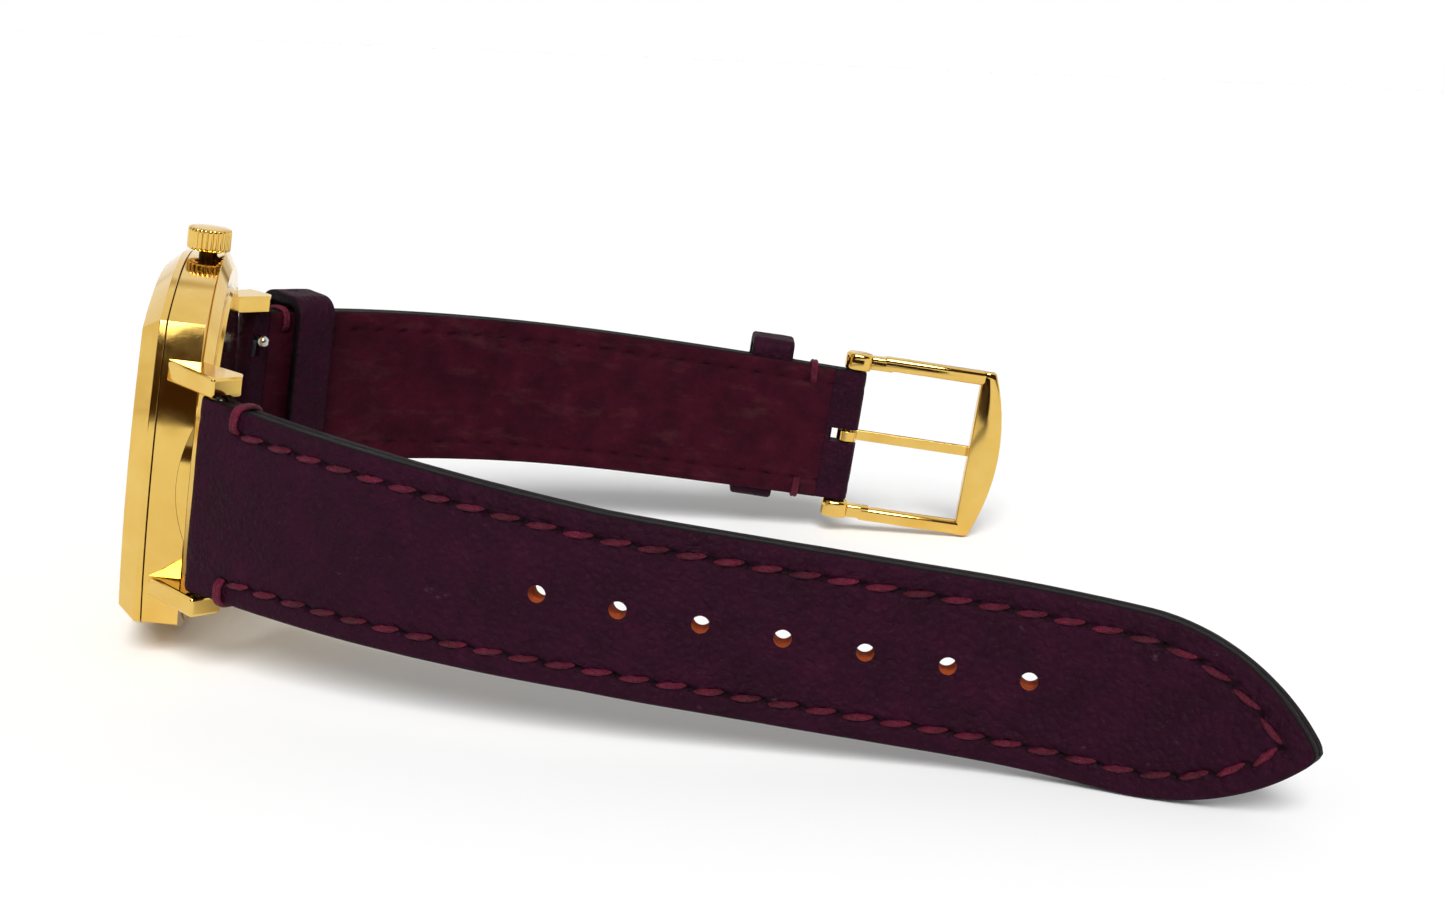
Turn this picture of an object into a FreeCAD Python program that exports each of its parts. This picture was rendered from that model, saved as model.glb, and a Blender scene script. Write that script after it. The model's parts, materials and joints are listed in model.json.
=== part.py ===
import FreeCAD, Part
import math
import os
import re

# Dress wristwatch lying on one side of its case, straps spread. Millimetres.
# Everything is drawn in the design frame: X towards 12 o'clock, Y towards the
# crown at 3 o'clock, Z towards the wrist, origin on the dial axis at the joint
# between bezel and case middle. The last step stands the watch on its three
# supports, +Z up, with the origin under the middle of its bounding box.

sizes = {
    # case outline: two pairs of arcs that meet in four corners
    "case_half_length": 19.0,
    "case_half_width": 17.6,
    "end_arc": 38.2,
    "flank_arc": 39.6,
    "middle_height": 3.2,
    "case_bore": 15.2,
    "back_joint": 2.1,
    "fit_gap": 0.03,
    # bezel and crystal
    "bezel_height": 2.25,
    "bezel_band": 0.7,
    "bezel_inset": 1.45,
    "seam_height": 0.12,
    "seam_depth": 0.25,
    "crystal_radius": 13.8,
    "crystal_height": 1.1,
    "gasket_width": 0.35,
    "flange_width": 0.6,
    # case back: an oval flank that widens to a rim, then a bevel and a raised disc
    "rim_overhang": 0.5,
    "rim_height": 3.3,
    "flank_inset": 0.55,
    "bevel_inset": 1.5,
    "back_height": 4.1,
    "disc_radius": 14.8,
    "disc_height": 0.35,
    "disc_bevel": 0.3,
    "seat_radius": 16.7,
    "seat_level": 2.95,
    "seal_inner": 15.6,
    "seal_outer": 16.3,
    "seal_depth": 0.3,
    # lugs
    "lug_gap": 18.2,
    "lug_width": 1.8,
    "lug_overhang": 4.3,
    "lug_tip_overhang": 2.3,
    "lug_tip_height": 7.1,
    "lug_kink_height": 4.75,
    "lug_round": 0.35,
    # spring bars
    "bar_overhang": 2.5,
    "bar_height": 5.2,
    "bar_radius": 0.75,
    "bar_wall": 0.22,
    "tip_radius": 0.4,
    "tip_length": 1.0,
    "tip_clearance": 0.05,
    "knob_place": 5.9,
    "knob_travel": 1.5,
    "knob_radius": 0.65,
    "knob_stem": 0.28,
    "knob_height": 1.8,
    # crown
    "crown_radius": 2.05,
    "crown_height": 2.3,
    "crown_gap": 0.65,
    "crown_level": 1.65,
    "crown_chamfer": 0.35,
    "flute_count": 24,
    "flute_radius": 0.17,
    "tube_radius": 0.85,
    "tube_bore": 0.6,
    "stem_radius": 0.42,
    "stem_inner_end": 4.6,
    # dial and hands
    "dial_radius": 14.7,
    "dial_height": 0.35,
    "marker_circle": 11.2,
    "marker_length": 2.2,
    "marker_width": 0.55,
    "marker_height": 0.2,
    "minute_length": 11.8,
    "hour_length": 8.0,
    "hand_width": 0.8,
    "hand_height": 0.15,
    "hour_level": -0.42,
    "minute_level": -0.78,
    # motion work: 12 and 36 teeth, then 10 and 40, at one centre distance
    "wheel_distance": 2.4,
    "cannon_radius": 0.38,
    "hour_bore": 0.42,
    "hour_pipe": 0.68,
    "arbor_radius": 0.2,
    # movement
    "plate_radius": 11.5,
    "plate_top": 1.05,
    "plate_height": 0.5,
    "plate_rim": 0.8,
    "holder_clearance": 0.05,
    "battery_radius": 4.4,
    "battery_height": 1.25,
    "battery_x": -6.3,
    "battery_y": -2.6,
    "bridge_level": 2.35,
    "bridge_height": 0.3,
    "coil_x": 6.4,
    "coil_y": -3.8,
    "coil_radius": 0.65,
    "coil_length": 6.0,
    # straps
    "strap_width": 17.7,
    "tail_width": 15.2,
    "buckle_end_width": 16.1,
    "taper_length": 38.0,
    "leather": 1.2,
    "glue_line": 0.015,
    "strap_end": 1.45,
    "tunnel_clearance": 0.03,
    "slot_clearance": 0.15,
    "lining_start": 1.65,
    "tail_length": 97.6,
    "point_length": 15.6,
    "hole_start": 33.6,
    "hole_pitch": 6.74,
    "hole_radius": 0.75,
    "hole_count": 7,
    "short_length": 75.7,
    "loop_length": 2.7,
    # buckle
    "buckle_turn": -9.0,
    "buckle_half_width": 10.27,
    "buckle_arm": 1.35,
    "arm_height": 1.5,
    "boss_radius": 1.4,
    "boss_length": 1.95,
    "buckle_bar_radius": 0.6,
    "buckle_clearance": 0.05,
    "frame_length": 18.7,
    "frame_bow": 2.0,
    "crossbar_width": 3.0,
    "crossbar_height": 1.2,
    "tongue_width": 1.2,
    "tongue_height": 0.7,
    "tongue_slot": 1.7,
    # keepers
    "keeper_width": 5.0,
    "keeper_leather": 1.1,
    "keeper_room": 2.9,
    "keeper_side": 0.35,
    "keeper_tab": 0.5,
    "fixed_keeper_place": 65.2,
    "free_keeper_place": 7.4,
}

# bends of the straps, as (length of the run, lean from the dial axis at its end)
long_start_lean = 43.8
long_runs = [(45.0, 13.5), (22.0, 12.5), (30.6, 45.0)]
short_start_lean = 45.2
short_runs = [(48.0, -3.8), (26.2, -10.8)]

doc = FreeCAD.newDocument("wristwatch")
sheet = doc.addObject("Spreadsheet::Sheet", "Sizes")
for row, (alias, value) in enumerate(sizes.items(), start=1):
    sheet.set(f"A{row}", alias)
    sheet.set(f"B{row}", str(value))
    sheet.setAlias(f"B{row}", alias)
doc.recompute()

nodes = {}
vector = FreeCAD.Vector


def size(alias):
    return float(sheet.get(alias))


def bound(text):
    """Turn the aliases in an expression into references to the sheet."""
    return re.sub(r"[a-z_]+", lambda word: "Sizes." + word.group() if word.group() in sizes else word.group(), text)


def primitive(kind, base, turn=None, **dimensions):
    solid = doc.addObject("Part::" + kind, kind)
    if turn:
        solid.Placement = FreeCAD.Placement(vector(), turn)
    for name, text in dimensions.items():
        solid.setExpression(name, bound(text))
    for axis, text in zip("xyz", base):
        solid.setExpression("Placement.Base." + axis, bound(text))
    return solid


def disc(radius, low, high, x="0", y="0"):
    return primitive("Cylinder", (x, y, low), Radius=radius, Height=f"({high}) - ({low})")


def cross_rod(radius, left, right, x="0", z="0"):
    """A cylinder along Y."""
    along_y = FreeCAD.Rotation(vector(1, 0, 0), -90)
    return primitive("Cylinder", (x, left, z), along_y, Radius=radius, Height=f"({right}) - ({left})")


def thick_rod(radius, low, high, y="0", z="0"):
    """A cylinder along X."""
    along_x = FreeCAD.Rotation(vector(0, 1, 0), 90)
    return primitive("Cylinder", (low, y, z), along_x, Radius=radius, Height=f"({high}) - ({low})")


def block(x, y, z):
    """A box from three (low, high) pairs."""
    spans = [f"({high}) - ({low})" for low, high in (x, y, z)]
    return primitive("Box", (x[0], y[0], z[0]), Length=spans[0], Width=spans[1], Height=spans[2])


def fuse(*shapes):
    if len(shapes) == 1:
        return shapes[0]
    result = doc.addObject("Part::MultiFuse", "Fuse")
    result.Shapes = list(shapes)
    return result


def common(*shapes):
    result = doc.addObject("Part::MultiCommon", "Common")
    result.Shapes = list(shapes)
    return result


def cut(base, *tools):
    result = doc.addObject("Part::Cut", "Cut")
    result.Base = base
    result.Tool = fuse(*tools)
    return result


def made(shape):
    """A document object that holds a shape worked out from the sheet in code."""
    feature = doc.addObject("Part::Feature", "Shape")
    feature.Shape = shape
    return feature


def node(label, *solids, place=None):
    """Name a sub-part and keep where it stands in the design frame."""
    piece = doc.addObject("Part::Compound", label)
    piece.Links = list(solids)
    piece.Label = label
    nodes[label] = (piece, place or FreeCAD.Placement())


def cushion(inset_low, inset_high, low, high):
    """The case outline between two levels, drawn in by an inset at each level."""
    height = f"({high}) - ({low})"
    sides = []
    for arc, half in (("end_arc", "case_half_length"), ("flank_arc", "case_half_width")):
        for sign in ("+", "-"):
            offset = f"{sign}({half} - {arc})"
            base = (offset, "0", low) if arc == "end_arc" else ("0", offset, low)
            if inset_low == inset_high:
                side = primitive("Cylinder", base, Radius=f"{arc} - ({inset_low})", Height=height)
            else:
                side = primitive("Cone", base, Radius1=f"{arc} - ({inset_low})",
                                 Radius2=f"{arc} - ({inset_high})", Height=height)
            sides.append(side)
    return common(*sides)


def oval(inset, level):
    return primitive("Ellipse", ("0", "0", level), MajorRadius=f"case_half_length + rim_overhang - ({inset})",
                     MinorRadius=f"case_half_width + rim_overhang - ({inset})")


def oval_loft(inset_low, inset_high, low, high):
    loft = doc.addObject("Part::Loft", "Loft")
    loft.Sections = [oval(inset_low, low), oval(inset_high, high)]
    loft.Solid = True
    loft.Ruled = True
    return loft


def gear(teeth, radius, low, high, bore, x=0.0, phase=0.0):
    """A wheel with narrow pointed teeth whose pitch circle has the given radius."""
    module = 2 * radius / teeth
    points = []
    for tooth in range(teeth):
        for share, reach in ((-0.30, -1.25), (-0.12, 0.9), (0.12, 0.9), (0.30, -1.25)):
            angle = math.radians(phase + 360 * (tooth + share) / teeth)
            rim = radius + reach * module
            points.append(vector(x + rim * math.cos(angle), rim * math.sin(angle), low))
    outline = Part.Face(Part.makePolygon(points + points[:1]))
    wheel = outline.extrude(vector(0, 0, high - low))
    hole = Part.makeCylinder(bore, high - low, vector(x, 0, low))
    return made(wheel.cut(hole))


# case

def lug(end, side):
    """One lug: a thin plate with a slanted outer facet, a kink and a rounded tip."""
    inner = size("lug_gap") / 2
    wall = size("case_half_length")
    tip_reach = wall + size("lug_tip_overhang")
    root = wall - 2.6
    outline = [
        (root, 0.5),
        (wall - 1.0, 0.5),
        (wall + size("lug_overhang"), size("lug_kink_height")),
        (tip_reach, size("lug_tip_height")),
        (tip_reach - 1.5, size("lug_tip_height")),
        (root, size("back_joint") + 1.0),
    ]
    start = inner if side > 0 else -inner - size("lug_width")
    points = [vector(end * reach, start, level) for reach, level in outline]
    plate = Part.Face(Part.makePolygon(points + points[:1])).extrude(vector(0, size("lug_width"), 0))
    tip = [
        edge for edge in plate.Edges
        if edge.CenterOfMass.z > size("lug_tip_height") - 0.01 and abs(edge.tangentAt(edge.FirstParameter).y) > 0.9
    ]
    return made(plate.makeFillet(size("lug_round"), tip))


def case_middle():
    outline = cushion("0", "0", "0", "middle_height")
    lugs = [lug(end, side) for end in (1, -1) for side in (1, -1)]
    back_seat = cut(
        oval_loft("flank_inset - fit_gap", "-fit_gap", "back_joint", "rim_height"),
        disc("seat_radius", "back_joint - 1", "seat_level"),
    )
    bore = disc("case_bore", "-1", "middle_height + 1")
    seal_groove = cut(
        disc("seal_outer + fit_gap", "seat_level - seal_depth - fit_gap", "seat_level + 0.1"),
        disc("seal_inner - fit_gap", "seat_level - seal_depth - 1", "seat_level + 1"),
    )
    tube_hole = cross_rod("tube_radius + fit_gap", "case_bore - 1", "case_half_width + 2", z="crown_level")
    tip_holes = [
        cross_rod("tip_radius + tip_clearance", "-lug_gap / 2 - tip_length - 0.1", "lug_gap / 2 + tip_length + 0.1",
                  x=f"{sign}(case_half_length + bar_overhang)", z="bar_height")
        for sign in ("", "-")
    ]
    solid = cut(fuse(outline, *lugs), back_seat, bore, seal_groove, tube_hole, *tip_holes)
    node("case_middle", solid)


def case_back():
    flank = oval_loft("flank_inset", "0", "back_joint", "rim_height")
    bevel = oval_loft("0", "bevel_inset", "rim_height", "back_height")
    raised = primitive("Cone", ("0", "0", "back_height"), Radius1="disc_radius",
                       Radius2="disc_radius - disc_bevel", Height="disc_height")
    hollow = disc("case_bore - 0.1", "back_joint - 1", "rim_height")
    seat = disc("seat_radius + fit_gap", "back_joint - 1", "seat_level + fit_gap")
    tube_notch = cross_rod("tube_radius + 0.1", "case_bore", "case_half_width + rim_overhang + 1", z="crown_level")
    node("case_back", cut(fuse(flank, bevel, raised), hollow, seat, tube_notch))
    seal = cut(
        disc("seal_outer", "seat_level - seal_depth", "seat_level"),
        disc("seal_inner", "seat_level - seal_depth - 1", "seat_level + 1"),
    )
    node("case_back_gasket", seal)


def bezel():
    shadow_line = cushion("seam_depth", "seam_depth", "-seam_height", "0")
    band = cushion("0", "0", "-bezel_band", "-seam_height")
    slope = cushion("bezel_inset", "0", "-bezel_height", "-bezel_band")
    window = disc("crystal_radius + gasket_width", "-bezel_height - 1", "1")
    node("bezel", cut(fuse(shadow_line, band, slope), window))
    gasket = cut(
        disc("crystal_radius + gasket_width", "-bezel_height", "-bezel_height + crystal_height"),
        disc("crystal_radius", "-bezel_height - 1", "0"),
    )
    node("crystal_gasket", gasket)
    node("crystal", disc("crystal_radius", "-bezel_height", "-bezel_height + crystal_height"))
    flange = cut(
        disc("crystal_radius + gasket_width", "-bezel_height + crystal_height", "0"),
        disc("crystal_radius + gasket_width - flange_width", "-bezel_height", "1"),
    )
    node("dial_flange", flange)


# dial and hands

def dial():
    plate = disc("dial_radius", "0", "dial_height")
    node("dial", cut(plate, disc("hour_pipe + 0.15", "-1", "dial_height + 1")))
    markers = []
    for hour in range(12):
        marker = block(("marker_circle", "marker_circle + marker_length"),
                       ("-marker_width / 2", "marker_width / 2"), ("-marker_height", "0"))
        turned = doc.addObject("Part::Compound", "Marker")
        turned.Links = [marker]
        turned.Placement = FreeCAD.Placement(vector(), FreeCAD.Rotation(vector(0, 0, 1), 30 * hour))
        markers.append(turned)
    node("hour_markers", *markers)


def hand(label, length, level, eye, bore, angle):
    high = f"{level} + hand_height"
    blade = block(("-hand_width", length), ("-hand_width / 2", "hand_width / 2"), (level, high))
    solid = cut(fuse(blade, disc(eye, level, high)), disc(bore, f"{level} - 1", f"{high} + 1"))
    node(label, solid, place=FreeCAD.Placement(vector(), FreeCAD.Rotation(vector(0, 0, 1), angle)))


def hands():
    # hands point to ten past ten; positive angles turn from 12 towards the crown
    hand("hour_hand", "hour_length", "hour_level", "1.1", "hour_pipe", -55)
    hand("minute_hand", "minute_length", "minute_level", "0.8", "cannon_radius", 60)


def motion_work():
    """Cannon pinion, minute wheel and hour wheel: together they turn one to twelve."""
    distance = size("wheel_distance")
    cannon_pitch = distance * 12 / 48
    minute_pitch = distance * 36 / 48
    pinion_pitch = distance * 10 / 50
    hour_pitch = distance * 40 / 50
    arbor_bore = size("arbor_radius")
    pipe = cut(disc("cannon_radius", "minute_level", "0.7"), disc("arbor_radius", "minute_level - 1", "1"))
    node("cannon_pinion", fuse(pipe, gear(12, cannon_pitch, 0.7, 0.93, arbor_bore)))
    hour_pipe = cut(disc("hour_pipe", "hour_level", "0.42"), disc("hour_bore", "hour_level - 1", "1"))
    node("hour_wheel", fuse(hour_pipe, gear(40, hour_pitch, 0.42, 0.6, size("hour_bore"))))
    post_bore = 0.25
    wheel = gear(36, minute_pitch, 0.72, 0.9, post_bore, distance, phase=5)
    pinion = gear(10, pinion_pitch, 0.42, 0.72, post_bore, distance, phase=18)
    node("minute_wheel", fuse(wheel, pinion))
    arbor = disc("arbor_radius", "minute_level - 0.05", "bridge_level + bridge_height")
    rim = disc("2.1", "plate_top + plate_height + 0.15", "plate_top + plate_height + 0.35")
    node("centre_wheel", fuse(arbor, rim))


# movement

def movement():
    top = "plate_top + plate_height"
    plate = disc("plate_radius", "plate_top", top)
    rim = cut(disc("plate_radius", "dial_height", "plate_top"), disc("plate_radius - plate_rim", "0", "plate_top + 1"))
    post = disc("0.21", "dial_height + 0.05", "plate_top", x="wheel_distance")
    pillars = [disc("0.8", top, "bridge_level", x=x, y=y) for x, y in bridge_pillars]
    stem_slot = block(("-1.3", "1.3"), ("stem_inner_end - 0.2", "plate_radius + 1"), ("-1", "bridge_level"))
    centre_hole = disc("arbor_radius + 0.04", "0", "plate_top + 1")
    screw_holes = [disc("0.35", top, "bridge_level + 1", x=x, y=y) for x, y in bridge_pillars]
    node("main_plate", cut(fuse(plate, rim, post, *pillars), stem_slot, centre_hole, *screw_holes))

    span = block(("-1.1", "1.1"), ("-4.0", "3.2"), ("bridge_level", "bridge_level + bridge_height"))
    ends = [disc("1.1", "bridge_level", "bridge_level + bridge_height", x=x, y=y) for x, y in bridge_pillars]
    holes = [disc("0.35", "bridge_level - 1", "bridge_level + 1", x=x, y=y) for x, y in bridge_pillars]
    bearing = disc("arbor_radius + 0.04", "bridge_level - 1", "bridge_level + 1")
    node("train_bridge", cut(fuse(span, *ends), bearing, *holes))
    screws = []
    for x, y in bridge_pillars:
        head = disc("0.6", "bridge_level + bridge_height", "bridge_level + bridge_height + 0.3", x=x, y=y)
        shank = disc("0.32", f"{top} + 0.05", "bridge_level + bridge_height", x=x, y=y)
        slot = block((f"{x} - 1", f"{x} + 1"), (f"{y} - 0.08", f"{y} + 0.08"),
                     ("bridge_level + bridge_height + 0.18", "bridge_level + bridge_height + 1"))
        screws.append(cut(fuse(head, shank), slot))
    node("bridge_screws", *screws)

    battery_low = f"{top} + 0.1"
    node("battery", disc("battery_radius", battery_low, f"{battery_low} + battery_height",
                         x="battery_x", y="battery_y"))
    node("battery_insulator", disc("battery_radius + 0.3", top, battery_low, x="battery_x", y="battery_y"))

    coil_level = f"{top} + coil_radius + 0.2"
    ends = ("coil_y - coil_length / 2", "coil_y + coil_length / 2")
    winding = cross_rod("coil_radius", f"{ends[0]} + 0.3", f"{ends[1]} - 0.3", x="coil_x", z=coil_level)
    cheeks = [
        block(("coil_x - 0.8", "coil_x + 0.8"), (low, f"{low} + 0.3"), (top, f"{coil_level} + coil_radius"))
        for low in (ends[0], f"{ends[1]} - 0.3")
    ]
    node("coil", fuse(winding, *cheeks))
    node("circuit_board", block(("4.6", "8.4"), ("1.9", "6.4"), (top, f"{top} + 0.3")))
    node("circuit_chip", block(("5.6", "7.2"), ("3.4", "5.0"), (f"{top} + 0.3", f"{top} + 0.8")))

    holder = cut(
        disc("case_bore - holder_clearance - 0.1", "dial_height", "rim_height - 0.02"),
        disc("plate_radius + holder_clearance", "0", "rim_height + 1"),
        cross_rod("tube_radius + 0.1", "plate_radius - 1", "case_bore + 1", z="crown_level"),
    )
    node("movement_holder", holder)


bridge_pillars = [("0", "-4.0"), ("0", "3.2")]


# crown

def crown():
    """Crown with a fluted edge, pressed on its stem, with a seal over the case tube."""
    low = "case_half_width + crown_gap"
    high = "case_half_width + crown_gap + crown_height"
    tube = cut(
        cross_rod("tube_radius", "case_bore - 0.4", f"{low} + 1.1", z="crown_level"),
        cross_rod("tube_bore", "0", f"{low} + 3", z="crown_level"),
    )
    node("crown_tube", tube)

    body = cross_rod("crown_radius", low, f"{high} - crown_chamfer", z="crown_level")
    along_y = FreeCAD.Rotation(vector(1, 0, 0), -90)
    top = primitive("Cone", ("0", f"{high} - crown_chamfer", "crown_level"), along_y, Radius1="crown_radius",
                    Radius2="crown_radius - crown_chamfer", Height="crown_chamfer")
    well = cross_rod("tube_radius + gasket_width", f"{low} - 1", f"{low} + 1.2", z="crown_level")
    bore = cross_rod("stem_radius", f"{low} - 1", f"{high} - 0.6", z="crown_level")
    flutes = []
    for flute in range(int(size("flute_count"))):
        angle = 2 * math.pi * flute / size("flute_count")
        rod = cross_rod("flute_radius", f"{low} + 0.15", f"{high} - crown_chamfer * 0.6",
                        x=f"(crown_radius + flute_radius * 0.35) * {math.cos(angle):.6f}",
                        z=f"crown_level + (crown_radius + flute_radius * 0.35) * {math.sin(angle):.6f}")
        flutes.append(rod)
    node("crown", cut(fuse(body, top), well, bore, *flutes))
    seal = cut(
        cross_rod("tube_radius + gasket_width", f"{low} + 0.5", f"{low} + 1.0", z="crown_level"),
        cross_rod("tube_radius + 0.03", f"{low} - 1", f"{low} + 2", z="crown_level"),
    )
    node("crown_gasket", seal)
    node("crown_stem", cross_rod("stem_radius", "stem_inner_end", f"{high} - 0.6", z="crown_level"))
    pinion = cut(
        cross_rod("0.62", "stem_inner_end + 1.2", "stem_inner_end + 2.8", z="crown_level"),
        cross_rod("stem_radius + 0.03", "0", "case_bore", z="crown_level"),
    )
    node("setting_pinion", pinion)


# straps

def path(start_lean, runs, along, offset=0.0):
    """Point and lean of a strap at a length along it, offset to its outer side."""
    x = 0.0
    z = 0.0
    lean = math.radians(start_lean)
    left = along
    for length, end_lean in runs:
        turn = math.radians(end_lean) - lean
        step = min(left, length) if (length, end_lean) != runs[-1] else left
        bend = turn / length
        new_lean = lean + bend * step
        x += (math.cos(lean) - math.cos(new_lean)) / bend
        z += (math.sin(new_lean) - math.sin(lean)) / bend
        lean = new_lean
        left -= step
        if left <= 0:
            break
    reach = size("case_half_length") + size("bar_overhang")
    point = vector(reach + x + offset * math.cos(lean), 0, size("bar_height") + z - offset * math.sin(lean))
    return point, math.degrees(lean)


def local_frame(start_lean, runs, along):
    """Frame on a strap: X to its outer side, Z along it."""
    point, lean = path(start_lean, runs, along)
    return FreeCAD.Placement(point, FreeCAD.Rotation(vector(0, 1, 0), lean))


def band(start_lean, runs, first, last, inner, outer, half_width):
    """A curved slab of leather between two lengths and two offsets."""
    stops = [first]
    total = 0.0
    for length, _ in runs:
        total += length
        if first < total < last - 0.01:
            stops.append(total)
    stops.append(last)

    def side(offset, lengths):
        edges = []
        for one, two in zip(lengths, lengths[1:]):
            points = [path(start_lean, runs, along, offset)[0] for along in (one, (one + two) / 2, two)]
            edges.append(Part.Arc(*points).toShape())
        return edges

    low = side(inner, stops)
    high = side(outer, stops[::-1])
    end = Part.makeLine(path(start_lean, runs, last, inner)[0], path(start_lean, runs, last, outer)[0])
    start = Part.makeLine(path(start_lean, runs, first, outer)[0], path(start_lean, runs, first, inner)[0])
    face = Part.Face(Part.Wire(low + [end] + high + [start]))
    face.translate(vector(0, -half_width, 0))
    return face.extrude(vector(0, 2 * half_width, 0))


def outline_prism(points_left, tip=None):
    """A prism along X whose outline is symmetric about the strap's centre line."""
    edges = []
    for one, two in zip(points_left, points_left[1:]):
        edges.append(Part.makeLine(vector(0, one[1], one[0]), vector(0, two[1], two[0])))
        edges.append(Part.makeLine(vector(0, -one[1], one[0]), vector(0, -two[1], two[0])))
    first = points_left[0]
    last = points_left[-1]
    edges.append(Part.makeLine(vector(0, first[1], first[0]), vector(0, -first[1], first[0])))
    if tip:
        middle, end = tip
        for sign in (1, -1):
            arc = Part.Arc(vector(0, sign * last[1], last[0]), vector(0, sign * middle[1], middle[0]), vector(0, 0, end))
            edges.append(arc.toShape())
    else:
        edges.append(Part.makeLine(vector(0, last[1], last[0]), vector(0, -last[1], last[0])))
    face = Part.Face(Part.Wire(Part.__sortEdges__(edges)))
    face.translate(vector(-20, 0, 0))
    return face.extrude(vector(140, 0, 0))


def long_outline():
    half = size("strap_width") / 2
    tail = size("tail_width") / 2
    point = size("point_length")
    shoulder = size("tail_length") - point
    radius = (point ** 2 + tail ** 2) / (2 * tail)
    middle_width = tail - radius + math.sqrt(radius ** 2 - (point / 2) ** 2)
    levels = [path(long_start_lean, long_runs, along)[0].z
              for along in (size("taper_length"), shoulder, shoulder + point / 2, size("tail_length"))]
    sides = [(0.0, half), (size("bar_height"), half), (levels[0], tail), (levels[1], tail)]
    return outline_prism(sides, ((levels[2], middle_width), levels[3]))


def short_outline():
    half = size("strap_width") / 2
    end = size("buckle_end_width") / 2
    level = path(short_start_lean, short_runs, size("short_length"))[0].z
    return outline_prism([(0.0, half), (size("bar_height"), half), (level, end), (level + 5, end)])


def rod_across(radius, half_length, point):
    """A solid cylinder across the strap, centred on a point."""
    return Part.makeCylinder(radius, 2 * half_length, point - vector(0, half_length, 0), vector(0, 1, 0))


def tunnel(start_lean, runs):
    """Passage for the spring bar and the slot for its knob, in the strap's end."""
    frame = local_frame(start_lean, runs, 0)
    slot_half = size("knob_stem") + size("slot_clearance")
    reach = size("strap_end") + 1
    slot = Part.makeBox(reach, size("knob_travel") + 2 * slot_half, 2 * slot_half,
                        vector(-reach, size("knob_place") - size("knob_travel") - slot_half, -slot_half))
    bore = Part.makeCylinder(size("bar_radius") + size("tunnel_clearance"), 40, vector(0, -20, 0), vector(0, 1, 0))
    passage = bore.fuse(slot)
    passage.Placement = frame
    return passage


def spring_bar(prefix, start_lean, runs, half_turn):
    """Quick-release bar: barrel with one fixed tip, a sliding tip with a knob, a spring."""
    place = half_turn.multiply(local_frame(start_lean, runs, 0))
    barrel_end = "strap_width / 2 - 0.1"
    low_tip = cross_rod("tip_radius", "-lug_gap / 2 - tip_length + 0.1", f"-({barrel_end})")
    barrel = cross_rod("bar_radius", f"-({barrel_end})", barrel_end)
    hollow = cross_rod("bar_radius - bar_wall", "-1", f"{barrel_end} + 1")
    slot = block(("-bar_radius - 1", "0"), ("knob_place - knob_travel - knob_stem - slot_clearance",
                                            "knob_place + knob_stem + slot_clearance"),
                 ("-knob_stem - slot_clearance", "knob_stem + slot_clearance"))
    node(prefix + "_bar_barrel", cut(fuse(low_tip, barrel), hollow, slot), place=place)
    pin = cross_rod("tip_radius", "knob_place - 1", "lug_gap / 2 + tip_length - 0.1")
    collar = cross_rod("bar_radius - bar_wall - 0.04", "knob_place - 1", "knob_place + 1")
    stem = thick_rod("knob_stem", "-knob_height", "0", y="knob_place")
    head = primitive("Sphere", ("-knob_height - knob_radius * 0.6", "knob_place", "0"), Radius="knob_radius")
    node(prefix + "_bar_release_tip", fuse(pin, collar, stem, head), place=place)
    spring = cut(
        cross_rod("bar_radius - bar_wall - 0.05", "-0.9", "knob_place - 1.05"),
        cross_rod("bar_radius - bar_wall - 0.2", "-2", "knob_place"),
    )
    node(prefix + "_bar_spring", spring, place=place)


def long_strap():
    half_turn = FreeCAD.Placement(vector(), FreeCAD.Rotation(vector(0, 0, 1), 180))
    half = size("strap_width") / 2
    thick = size("leather")
    outline = long_outline()
    passage = tunnel(long_start_lean, long_runs)
    end = rod_across(size("strap_end"), half, path(long_start_lean, long_runs, 0)[0])
    outer = band(long_start_lean, long_runs, 0, size("tail_length"), 0, thick, half)
    lining = band(long_start_lean, long_runs, size("lining_start"), size("tail_length"), -thick, -size("glue_line"), half)
    holes = []
    for index in range(int(size("hole_count"))):
        frame = local_frame(long_start_lean, long_runs, size("hole_start") + index * size("hole_pitch"))
        hole = Part.makeCylinder(size("hole_radius"), 6, vector(-3, 0, 0), vector(1, 0, 0))
        hole.Placement = frame
        holes.append(hole)
    node("long_strap_outer", made(outer.common(outline).fuse(end).cut([passage] + holes)), place=half_turn)
    node("long_strap_lining", made(lining.common(outline).cut([passage] + holes)), place=half_turn)
    spring_bar("long", long_start_lean, long_runs, half_turn)


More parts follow.
